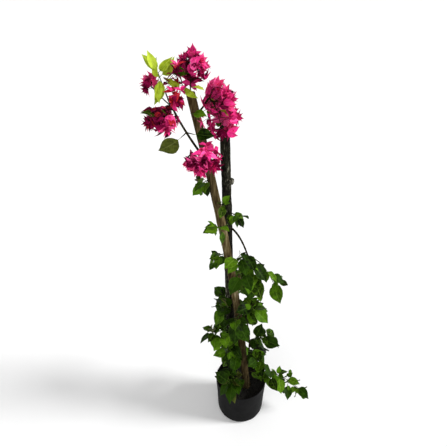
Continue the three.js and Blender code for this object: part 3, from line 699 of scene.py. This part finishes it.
# One mass as it grows. In the rule's own growth a blade draws its numbers before its test, so one
# that is left out changes no other. The finer growth has numbers of its own and tries again.
class Growth:
    def __init__(self, name):
        self.name, self.plan = name, masses[name]
        self.random = seeded(self.plan["seed"])
        self.twigs, self.leaves, self.bracts, self.heads = [], [], [], []
        self.spray, self.girth, self.loose = 0, None, False

    def ranged(self, start, width):
        return start + width * self.random()

    def swing(self, width):
        return (self.random() - 0.5) * width

    # A blade fits where its mass has room; in the finer growth it also keeps close in.
    def fits(self, blade):
        probes = bladeProbes(blade)
        if self.girth:
            toOwn = distances(probes, massLines[lineOwners == self.name]).min(1)
            if toOwn.max() > self.girth:
                return False
        return isFree(probes, self.name, self.loose)

    def leaf(self, root, outward, heading, scale):
        plan = self.plan
        length = plan["leaf"] * scale * self.ranged(*drawn["leafLength"])
        lift = self.swing(drawn["liftSwing"])
        roll = self.swing(radians(drawn["rollSwing"]))
        direction = unit(outward * drawn["out"] + heading * drawn["on"]
                         + up * (lift - plan["droop"]))
        upper = unit(array(*plan["face"]) + outward * drawn["tip"])
        level = unit(np.cross(upper, direction))
        side = level * cos(roll) + np.cross(direction, level) * sin(roll)
        blade = dict(shape=leafShape, root=root, base=root + direction * length * leafShape["stand"],
                     heading=direction, side=side, face=np.cross(direction, side), length=length,
                     width=length * plan["wide"], scale=scale, spray=self.spray)
        if not self.fits(blade):
            return False
        self.leaves.append(blade)
        return True

    def head(self, centre, axis, scale, rings=head["rings"]):
        spin = self.random() * 2 * pi
        length = self.plan["bract"] * scale * self.ranged(*drawn["headLength"])
        made = []
        for ring, (cone, bracts, size) in enumerate(rings):
            for i in range(bracts):
                turn = (spin + (i + 0.5 * ring) * 2 * pi / bracts
                        + self.swing(drawn["headTurnSwing"]))
                opening = radians(cone + self.swing(drawn["coneSwing"]))
                outward = outwardAt(axis, turn)
                heading = unit(axis * cos(opening) + outward * sin(opening))
                side = unit(np.cross(axis, outward))
                blade = dict(shape=bractShape, root=centre, base=centre, heading=heading, side=side,
                             face=np.cross(heading, side), length=length * size,
                             width=length * size * head["slim"], scale=scale, spray=self.spray)
                if self.fits(blade):
                    made.append(blade)
        if made:
            self.heads.append((centre, axis, scale))
            self.bracts += made

    # A twig with its head of bracts or its three leaves.
    def twig(self, start, heading, outward, item, habit, scale=1):
        plan = self.plan
        self.spray += 1
        spread = radians(plan["spread"]) * self.ranged(*habit["spread"])
        direction = unit(heading * cos(spread) + outward * sin(spread)
                         + up * habit["lift"])
        end = start + direction * (plan["twig"] * self.ranged(*habit["length"]))
        if not isFree(np.array([end, (start + end) / 2]), self.name):
            if item == "h" and habit is ruledTwig:
                self.random()
            return
        before = len(self.leaves) + len(self.bracts)
        if item == "h":
            self.head(end, direction, scale)
        else:
            side = unit(np.cross(direction, outward))
            for share, hand, size in habit["leaves"]:
                self.leaf(between(start, end, share), side * hand, direction, scale * size)
            self.leaf(end, direction, direction, scale * habit["endLeaf"])
        if len(self.leaves) + len(self.bracts) > before:
            self.twigs.append((start, end, habit["thick"]))

    def grow(self):
        plan = self.plan
        route = sprigRoute(plan)
        turn = self.random() * 360
        for i in range(plan["nodes"]):
            t = nodeAt(plan, i)
            point, heading = route(t), sprigHeading(plan, t)
            turn += drawn["turn"] + self.swing(drawn["turnSwing"])
            outward = (array(*plan["aims"][i]) * aim["pull"] if plan["aims"]
                       else outwardAt(heading, radians(turn)))
            item = plan["pattern"][i % len(plan["pattern"])]
            self.spray += 1
            if item == "l":
                self.leaf(point, outward, heading, 1)
            else:
                self.twig(point, heading, outward, item, ruledTwig)
        heading = sprigHeading(plan, 1)
        self.spray += 1
        if plan["end"] == "h":
            self.head(route(1), heading, drawn["endHead"])
        if plan["end"] == "l":
            self.leaf(route(1), heading, heading, 1)

    # Tries for a leaf until one finds room.
    def smallLeaf(self, root, outward, heading):
        for _ in range(finer["tries"]):
            turned = unit(outward + up * self.swing(1) + heading * self.swing(1))
            if self.leaf(root, turned, heading, between(*finer["leafScale"], self.random())):
                return

    # Twiglets and smaller leaves or heads between those of the rule, in the same space.
    def growFiner(self):
        plan = self.plan
        self.random = random = seeded(plan["seed"] + finer["seed"])
        self.girth = girths.get(self.name, finer["girth"])
        route = sprigRoute(plan)
        blossom = plan["end"] == "h"
        for start, end, _ in list(self.twigs):
            direction = unit(end - start)
            for share in finer["headShares"] if blossom else finer["leafShares"]:
                outward = outwardAt(direction, random() * 2 * pi)
                root = between(start, end, share)
                if blossom:
                    self.twig(root, direction, outward, "h", finerTwig, finer["headScale"])
                else:
                    self.smallLeaf(root, outward, direction)
        count = round(plan["nodes"] * (moreNodes.get(
            self.name, finer["blossomNodes"] if blossom else finer["leafNodes"])))
        turn = random() * 360
        for i in range(0 if plan["aims"] else count):
            t = between(plan["bare"] * finer["bare"], 1, (i + random()) / count)
            point, heading = route(t), sprigHeading(plan, t)
            turn += drawn["turn"] + self.swing(finer["turnSwing"])
            outward = outwardAt(heading, radians(turn))
            self.spray += 1
            kind = random()
            if blossom and kind < finer["blossomLeaves"]:
                self.leaf(point + outward * finer["leafOut"], outward, heading,
                          between(*finer["blossomLeafScale"], random()))
            elif blossom:
                scale = between(*finer["twigHeadScale"], random())
                self.twig(point, heading, outward, "h", finerTwig, scale)
            elif kind < finer["singleLeaves"]:
                self.smallLeaf(point, outward, heading)
            else:
                self.twig(point, heading, outward, "t", finerTwig, finer["twigLeafScale"])
        self.growStrays(route)

    # The leaves and heads that are listed one by one. They may stand among a neighbour's.
    def growStrays(self, route):
        self.girth, self.loose = aim["girth"], True
        for t, way, scale in strayLeaves.get(self.name, ()):
            self.spray += 1
            outward, heading = array(*way) * aim["pull"], sprigHeading(self.plan, t)
            for _ in range(finer["tries"]):
                if self.leaf(route(t), outward, heading, scale):
                    break
        for t, way, length, size in strayHeads.get(self.name, ()):
            self.spray += 1
            start, direction = route(t), unit(array(*way))
            self.head(start + direction * length, direction, size)
            self.twigs.append((start, start + direction * length, finerTwig["thick"]))
        self.loose = False

    # The closer rings of bracts that fill each head.
    def fillHeads(self):
        self.random = seeded(self.plan["seed"] + finer["seed"] * 2)
        for centre, axis, scale in list(self.heads):
            self.spray += 1
            self.head(centre, axis, scale, head["closer"])


# Finer growth for each node of the rule, where a mass has more or less than most.
moreNodes = {"right_blossom": 2.2, "left_blossom": 1.6, "cross_leaves": 0.4, "arch_upper": 0.6,
             "arch_leaves": 1, "pair_right": 0.8, "pot_sprig": 0.8}
# Leaves listed one by one: where on the sprig, which way, and the size.
strayLeaves = {
    "tip_leaves": ((1, (-0.35, -0.25, 0.85), 0.8), (1, (0.75, -0.3, 0.55), 0.8),
                   (0.75, (-0.3, -0.45, 0.8), 0.75), (0.75, (-0.1, -0.5, -0.85), 0.85)),
    "left_blossom": ((0.9, (-0.55, -0.45, 0.75), 1.1), (0.5, (-0.2, -0.5, 0.9), 0.6)),
    "top_blossom": ((0.55, (-0.9, -0.3, 0.3), 0.9), (0.15, (0.8, -0.5, 0.1), 0.7)),
    "cross_leaves": ((0.6, (-0.9, -0.4, 0.3), 1.2), (0.5, (0.8, -0.6, 0.3), 0.8)),
    "arch_leaves": ((0.12, (0.8, -0.45, -0.4), 1.25), (0.4, (-0.15, -0.45, -0.8), 1.15),
                    (0.45, (0.3, -0.35, -0.85), 1)),
    "pair_right": ((0.9, (0.75, -0.4, -0.5), 0.95), (0.8, (0.8, -0.35, -0.05), 0.8)),
    "low_shoot_top": ((0.9, (-0.85, -0.75, 0.2), 1.15),),
    "low_left": ((0.7, (-0.45, -0.5, -0.6), 1.1),),
    "pot_left": ((0.75, (-0.15, -0.75, -0.3), 1.5), (1, (-0.55, 0.1, 0.9), 1)),
    "pot_sprig": ((0.1, (0.5, -0.7, 0.4), 1.1), (0.04, (-0.3, -0.8, 0.4), 1)),
}
# Heads listed one by one: where on the sprig, which way, how far out, and the size.
strayHeads = {
    "inner_leaves": ((1, (-0.6, -0.1, 0.75), 30, 1), (1, (-0.2, -0.1, 0.95), 42, 1),
                     (0.6, (-0.9, -0.2, 0.3), 26, 1)),
    "tip_leaves": ((0.35, (0.8, 0.1, 0.5), 32, 1.2), (0.1, (0.9, -0.2, 0.1), 22, 1.1),
                   (0.55, (0.75, 0.1, 0.65), 42, 1.2), (0.2, (0.3, -0.1, 0.95), 28, 1.2)),
    "red_blossom": ((0.6, (-0.1, -0.3, 0.95), 22, 0.9), (0.9, (0.4, -0.3, 0.8), 26, 0.8)),
    "left_blossom": ((0.6, (0.12, -0.35, -0.85), 22, 1),),
    "right_blossom": ((0.3, (-0.8, -0.45, -0.25), 20, 0.7), (0.5, (-0.85, -0.4, -0.3), 40, 0.7),
                      (0.7, (-0.8, -0.45, -0.3), 46, 0.7)),
    "low_blossom": ((0.3, (0.35, -0.4, 0.9), 30, 0.7), (0.6, (0.95, -0.3, -0.15), 40, 0.7),
                    (0.8, (-0.9, -0.25, -0.35), 36, 0.7)),
}
# How far from its lines the finer growth of a mass may stand.
girths = {"top_blossom": 38, "side_blossom": 26, "red_blossom": 30, "low_blossom": 48,
          "left_blossom": 46, "right_blossom": 48}
finer = dict(seed=5000, girth=52, tries=5, bare=0.8, turnSwing=60,
             leafNodes=1.8, leafShares=(0.25, 0.9), leafScale=(0.5, 0.9), singleLeaves=0.6,
             twigLeafScale=0.6, leafOut=4,
             blossomNodes=0.8, headShares=(0.55,), headScale=0.8, twigHeadScale=(0.75, 1),
             blossomLeaves=0.25, blossomLeafScale=(0.6, 1.1))

growths = {}
for name in masses:
    growth = Growth(name)
    growth.grow()
    growth.growFiner()
    growth.fillHeads()
    growths[name] = growth
print("growth done,", sum(len(g.leaves) for g in growths.values()), "leaves,",
      sum(len(g.bracts) for g in growths.values()), "bracts")


# A pattern of one small thing. Each of its points has a share of the length, of the width, a
# height in widths and a height in lengths.
class Pattern:
    def __init__(self, form, lift):
        form.verts.ensure_lookup_table()
        form.verts.index_update()
        places = np.array([vertex.co[:] for vertex in form.verts])
        raised = np.array([lift(*place) for place in places])
        self.points = np.column_stack([places[:, :2], raised])
        uvLayer = form.loops.layers.uv.verify()
        self.corners = np.array([loop.vert.index for face in form.faces for loop in face.loops])
        self.uvs = np.array([loop[uvLayer].uv[:] for face in form.faces for loop in face.loops])
        self.sizes = np.array([len(face.verts) for face in form.faces])
        self.undersides = np.array([face.material_index for face in form.faces])
        form.free()


# How one blade pattern differs from the next. Fold and curl are times the blade's own.
varied = dict(skew=(-0.08, 0.08), phase=(0, 6.3), beat=(7, 11), fold=(0.6, 1.3), curl=(0.4, 1.8))


# A closed blade: a grid shaped to the outline, and a copy of it turned over and held just below.
def bladePattern(blade, seed):
    random = np.random.default_rng(seed)
    form = bmesh.new()
    uvLayer = form.loops.layers.uv.verify()
    bmesh.ops.create_grid(form, x_segments=blade["steps"], y_segments=4, size=1)
    for vertex in form.verts:
        vertex.co.x = (vertex.co.x + 1) / 2
    for face in form.faces:
        for loop in face.loops:
            loop[uvLayer].uv = (loop.vert.co.y / 2 + 0.5, loop.vert.co.x)
    copy = bmesh.ops.duplicate(form, geom=form.verts[:] + form.edges[:] + form.faces[:])["geom"]
    below = [item for item in copy if isinstance(item, bmesh.types.BMFace)]
    for face in below:
        face.material_index = 1
    bmesh.ops.reverse_faces(form, faces=below)
    for vertex in copy:
        if isinstance(vertex, bmesh.types.BMVert):
            within = abs(vertex.co.y) < 0.99 and 0.01 < vertex.co.x < 0.99
            vertex.co.z = -1 if within else 0
    skew = random.uniform(*varied["skew"])
    widest = blade["rise"] / (blade["rise"] + blade["fall"])
    peak = widest ** blade["rise"] * (1 - widest) ** blade["fall"]
    for vertex in form.verts:
        u, v = vertex.co.x, vertex.co.y
        full = u ** blade["rise"] * (1 - u) ** blade["fall"] / peak
        drip = 1 - blade["drip"] * max(0, (u - 0.7) / 0.3)
        vertex.co.y = v * full * drip * blade["slim"] + skew * sin(pi * u)
    bmesh.ops.remove_doubles(form, verts=form.verts[:], dist=1e-4)
    phase, beat = random.uniform(*varied["phase"]), random.uniform(*varied["beat"])
    fold = blade["fold"] * random.uniform(*varied["fold"])
    curl = blade["curl"] * random.uniform(*varied["curl"])

    def lift(u, y, below):
        across = abs(y - skew * sin(pi * u))
        ripple = blade["ripple"] * across * sin(beat * u + phase + (2 if y > 0 else 0))
        return (fold * (across - blade["cup"] * across ** 2) + ripple + below * blade["thick"],
                -curl * u * u)
    return Pattern(form, lift)


# A thin round twig, a little bent, tapering to its end.
def twigPattern(bend, taper, sides, steps):
    form = bmesh.new()
    tube(form, lambda t: sideways * t, lambda t: 1 - taper * t, sides, steps)
    bmesh.ops.recalc_face_normals(form, faces=form.faces[:])
    return Pattern(form, lambda u, y, z: (z, bend * 4 * u * (1 - u)))


# Sets many copies of a few patterns down as one mesh. Each copy brings its base, its heading,
# side and face, its length and width, its tone and which pattern it takes.
def joined(name, patterns, copies):
    points, corners, uvs, sizes, undersides, tones = [], [], [], [], [], []
    offset = 0
    for index, pattern in enumerate(patterns):
        mine = [copy for copy in copies if copy["pattern"] == index]
        if not mine:
            continue
        frames = {key: np.array([copy[key] for copy in mine])
                  for key in ("base", "heading", "side", "face", "length", "width", "tone")}
        u, v, heightWide, heightLong = pattern.points.T
        length, width = frames["length"][:, None], frames["width"][:, None]
        placed = (frames["base"][:, None]
                  + frames["heading"][:, None] * (u * length)[..., None]
                  + frames["side"][:, None] * (v * width)[..., None]
                  + frames["face"][:, None] * (heightWide * width + heightLong * length)[..., None])
        count = len(mine)
        points.append(placed.reshape(-1, 3))
        steps = offset + np.arange(count)[:, None] * len(pattern.points)
        corners.append((pattern.corners[None] + steps).ravel())
        uvs.append(np.tile(pattern.uvs, (count, 1)))
        sizes.append(np.tile(pattern.sizes, count))
        undersides.append(np.tile(pattern.undersides, count))
        tones.append(np.repeat(frames["tone"], len(pattern.points)))
        offset += count * len(pattern.points)
    mesh = bpy.data.meshes.new(name)
    points, corners, sizes = np.vstack(points), np.concatenate(corners), np.concatenate(sizes)
    mesh.vertices.add(len(points))
    mesh.vertices.foreach_set("co", (points * millimetre).ravel())
    mesh.loops.add(len(corners))
    mesh.loops.foreach_set("vertex_index", corners)
    mesh.polygons.add(len(sizes))
    mesh.polygons.foreach_set("loop_start", np.concatenate([[0], np.cumsum(sizes)[:-1]]))
    mesh.polygons.foreach_set("material_index", np.concatenate(undersides))
    mesh.uv_layers.new(name="blade").data.foreach_set("uv", np.vstack(uvs).ravel())
    mesh.attributes.new("tone", "FLOAT", "POINT").data.foreach_set("value", np.concatenate(tones))
    mesh.update(calc_edges=True)
    return mesh


leafBlade = dict(steps=7, rise=0.66, fall=0.95, slim=0.9, drip=0.5, fold=0.46, cup=0.45,
                 curl=0.2, ripple=0.14, thick=0.035)
bractBlade = dict(steps=6, rise=0.85, fall=1.55, slim=0.78, drip=0.5, fold=0.5, cup=0.3,
                  curl=0.14, ripple=0.16, thick=0.03)
youngBlade = leafBlade | dict(rise=0.75, fall=0.9, slim=0.62, fold=0.95, cup=0.3, curl=0.34)
leafPatterns = ([bladePattern(leafBlade, seed) for seed in range(6)]
                + [bladePattern(youngBlade, seed) for seed in range(40, 44)])
mature, young = range(6), range(6, 10)
bractPatterns = [bladePattern(bractBlade, seed) for seed in range(20, 25)]
twigPatterns = [twigPattern(bend, 0.35, 5, 5) for bend in (-0.05, 0.03, 0.07)]
stalkPatterns = [twigPattern(bend, 0.2, 4, 4) for bend in (-0.12, 0.08)]


# A blade: a leaf is waxed and softly glossy above and duller below, and a bract is papery, so it
# shows nearly no gloss. Veins come from the blade's own map: a midrib, and side veins that slant
# to the margin. The hue shifts from blade to blade and is mottled across each one.
def bladeSurface(name, shade, light, vein, roughness, veins, show, gloss):
    surface, add, shader = newSurface(name, **{"Roughness": roughness,
                                               "Specular IOR Level": gloss})
    place = add("TexCoord").outputs["Object"]
    own = add("UVMap", {"uv_map": "blade"})
    parts = add("SeparateXYZ", links={"Vector": own})
    offset = add("Math", {"operation": "SUBTRACT", 1: 0.5}, {0: parts.outputs["X"]})
    across = add("Math", {"operation": "ABSOLUTE"}, {0: offset})
    midrib = add("MapRange", {"From Min": 0.045, "From Max": 0.01}, {"Value": across})
    along = add("Math", {"operation": "MULTIPLY", 1: veins}, {0: parts.outputs["Y"]})
    slanting = add("Math", {"operation": "MULTIPLY_ADD", 1: -veins * 0.75}, {0: across, 2: along})
    wave = add("Math", {"operation": "PINGPONG", 1: 0.5}, {0: slanting})
    sideVein = add("MapRange", {"From Min": 0.09, "From Max": 0.0, "To Max": 0.6}, {"Value": wave})
    veining = add("Math", {"operation": "MAXIMUM"}, {0: midrib, 1: sideVein})
    margin = add("MapRange", {"From Min": 0.42, "From Max": 0.5, "To Max": 0.8}, {"Value": across})
    lines = add("Math", {"operation": "MAXIMUM"}, {0: veining, 1: margin})
    shown = add("Math", {"operation": "MULTIPLY", 1: show}, {0: lines})
    tone = add("Attribute", {"attribute_name": "tone"})
    mottle = add("TexNoise", {"Scale": featureScale(9), "Detail": 3.0}, {"Vector": place})
    spread = add("Math", {"operation": "MULTIPLY_ADD", 1: 2.0}, {0: mottle, 2: tone.outputs["Fac"]})
    level = add("MapRange", {"From Min": 0.9, "From Max": 2.0}, {"Value": spread})
    tint = add("Mix", {"data_type": "RGBA", 6: linear(shade), 7: linear(light)}, {0: level})
    veined = add("Mix", {"data_type": "RGBA", 7: linear(vein)}, {0: shown, 6: tint.outputs[2]})
    dent = add("Bump", {"Strength": 0.35, "Distance": 0.0005}, {"Height": lines})
    wire(shader, {"Base Color": veined.outputs[2], "Normal": dent})
    return surface


# Each colour of leaf and bract: its material, its shaded and lit hues, and its veins.
greens = {
    "leavesDark": ("glossyDarkLeaf", "#010500", "#284406", "#527028"),
    "leavesMid": ("glossyGreenLeaf", "#091200", "#466c0a", "#7e9c40"),
    "leavesFresh": ("freshGreenLeaf", "#122200", "#547a12", "#92ae4c"),
    "leavesOlive": ("ageingOliveLeaf", "#1a2004", "#525b20", "#848a50"),
    "leavesLime": ("youngLimeLeaf", "#7c8e14", "#bcd040", "#e2f078"),
}
pinks = {
    "bractsHot": ("paperyHotPink", "#cc1058", "#ff5aa6", "#ffb4d6"),
    "bractsMagenta": ("paperyMagenta", "#9c0848", "#f0348a", "#ff86bc"),
    "bractsDeep": ("paperyCrimson", "#3c0014", "#8c0c44", "#c03474"),
    "bractsRed": ("paperyRedOrange", "#800a1c", "#d42c40", "#ee7068"),
}
leafKinds, bractKinds = tuple(greens), tuple(pinks)
# The upper and under side of each: roughness, side veins, how much they show, and gloss.
leafFinish = ((0.42, 9, 0.3, 0.03), (0.6, 9, 0.35, 0.015))
bractFinish = ((0.62, 7, 0.3, 0.015), (0.7, 7, 0.35, 0.015))

# How often a leaf or a head of each mass takes each colour, in the order of the tables above.
usual = (0.28, 0.48, 0.2, 0.04, 0)
# shady gives the masses low down and at the back more dark leaves: painted shade under the crown.
shady = (0.46, 0.46, 0.04, 0.04, 0)
inBlossom = (0.05, 0.25, 0.45, 0, 0.25)
deals = {name: shady for name in ("low_left", "left_sprig", "right_sprig", "foot_right",
                                  "foot_left", "back_leaves", "back_right")} | {
    "tip_leaves": (0, 0, 0, 0, 1),
    "inner_leaves": (0, 0, 0.1, 0, 0.9),
    "fork_leaf": (0.6, 0.4, 0, 0, 0),
    "round_leaf": (0, 0, 0, 1, 0),
    "collar_leaf": (0.3, 0.7, 0, 0, 0),
    "cross_leaves": (0.1, 0.45, 0.45, 0, 0),
    "cross_right": (0.15, 0.5, 0.35, 0, 0),
    "nook_leaf": (0, 0.4, 0.6, 0, 0),
    "pot_left": (0.65, 0, 0, 0.35, 0),
    "pot_sprig": (0.35, 0.5, 0.15, 0, 0),
    "low_front": (0.8, 0.2, 0, 0, 0),
    "arch_upper": (0.4, 0.5, 0.1, 0, 0),
    "back_foot": (0.5, 0.4, 0.1, 0, 0),
    "back_left": (0.45, 0.4, 0.15, 0, 0),
}
usualBlossom = (0.42, 0.38, 0.2, 0)
blossomDeals = {"inner_leaves": (0.1, 0.3, 0.35, 0.25), "tip_leaves": (0.1, 0.35, 0.45, 0.1),
                "red_blossom": (0.05, 0.2, 0.4, 0.35), "side_blossom": (0.35, 0.45, 0.2, 0),
                "left_blossom": (0.1, 0.38, 0.46, 0.06), "top_blossom": (0.26, 0.42, 0.32, 0)}

# Painted shade: within this many millimetres of the limbs, or of a mass's own lines, most take a
# darker colour.
inside = dict(leaf=42, bract=24, share=0.7, redealt=0.15,
              spared=("cross_leaves", "cross_right", "nook_leaf", "collar_leaf"),
              darker={"leavesMid": "leavesDark", "leavesFresh": "leavesMid",
                      "bractsMagenta": "bractsDeep", "bractsHot": "bractsMagenta"})
stalk, twigThick = dict(width=0.75, least=0.6, past=0.04), 1.25


# A copy of a twig pattern along a span.
def rod(start, span, side, width, deal, patterns):
    heading = unit(span)
    return dict(base=start, heading=heading, side=side, face=np.cross(heading, side),
                length=np.linalg.norm(span), width=width, tone=float(deal.random()),
                pattern=int(deal.integers(len(patterns))))


batches = {kind: [] for kind in leafKinds + bractKinds}
twigCopies, stalkCopies = [], []
holders = {kind: set() for kind in leafKinds + bractKinds}
for name, growth in growths.items():
    deal = np.random.default_rng(growth.plan["seed"])
    leafDeal, bractDeal = deals.get(name, usual), blossomDeals.get(name, usualBlossom)
    if growth.plan["end"] == "h":
        leafDeal = inBlossom
    sprayKinds = {}
    ownLines = massLines[lineOwners == name]
    for blade in growth.leaves + growth.bracts:
        isLeaf = blade["shape"] is leafShape
        tip = blade["base"] + blade["heading"] * blade["length"]
        # Painted shade: leaves near the limbs, and bracts whose tips lie near their mass's lines,
        # count as deep in the foliage.
        if isLeaf:
            deep = (growth.plan["end"] != "h" and name not in inside["spared"]
                    and distances(blade["base"][None], limbLines).min() < inside["leaf"])
        else:
            deep = distances(tip[None], ownLines).min() < inside["bract"]
        key = (isLeaf, blade["spray"])
        if key not in sprayKinds or deal.random() < inside["redealt"]:
            sprayKinds[key] = (deal.choice(len(leafKinds), p=leafDeal) if isLeaf
                               else deal.choice(len(bractKinds), p=bractDeal))
        kind = (leafKinds if isLeaf else bractKinds)[sprayKinds[key]]
        # Most of those in painted shade take the next darker colour.
        if deep and kind in inside["darker"] and deal.random() < inside["share"]:
            kind = inside["darker"][kind]
        choices = (range(len(bractPatterns)) if not isLeaf
                   else young if name in ("tip_leaves", "inner_leaves") else mature)
        batches[kind].append(blade | dict(pattern=int(deal.choice(choices)),
                                          tone=float(deal.random())))
        holders[kind].add(name)
        if isLeaf:
            reach = blade["heading"] * blade["length"] * stalk["past"]
            width = stalk["width"] * (stalk["least"] + (1 - stalk["least"]) * blade["scale"])
            stalkCopies.append(rod(blade["root"], blade["base"] - blade["root"] + reach,
                                   blade["side"], width, deal, stalkPatterns))
    for start, end, size in growth.twigs:
        side = outwardAt(unit(end - start), deal.random() * 2 * pi)
        twigCopies.append(rod(start, end - start, side, twigThick * size, deal, twigPatterns))

for kind, copies in batches.items():
    if not copies:
        continue
    isLeaf = kind in greens
    surfaceName, *hues = (greens if isLeaf else pinks)[kind]
    upper, lower = leafFinish if isLeaf else bractFinish
    top = bladeSurface(surfaceName, *hues, *upper)
    under = bladeSurface(surfaceName + "Underside", *hues, *lower)
    addPiece(kind, joined(kind, leafPatterns if isLeaf else bractPatterns, copies), [top, under],
             sorted(holders[kind]), 80)

sprigRadius = (1.8, 1.0)
sprigForm = bmesh.new()
for name, plan in masses.items():
    tube(sprigForm, sprigRoute(plan), lambda t: between(*sprigRadius, t), *fineness["sprig"])
addPiece("sprigs", sprigForm, [twigWood], list(masses))
addPiece("twigs", joined("twigs", twigPatterns, twigCopies), [twigWood], list(masses))

# The green skin of a leaf stalk, smooth and thinly waxed: a faint sheen over mottled green.
stalkSurface, add, shader = newSurface("greenLeafStalk", **{"Roughness": 0.55,
                                                            "Specular IOR Level": 0.1})
place = add("TexCoord").outputs["Object"]
mottle = add("TexNoise", {"Scale": featureScale(9), "Detail": 2.0}, {"Vector": place})
tint = add("ValToRGB", {"stops": [(0.35, "#34480f"), (0.7, "#5f7c26")]}, {"Fac": mottle})
wire(shader, {"Base Color": tint})
addPiece("leafStalks", joined("leafStalks", stalkPatterns, stalkCopies), [stalkSurface],
         list(masses))
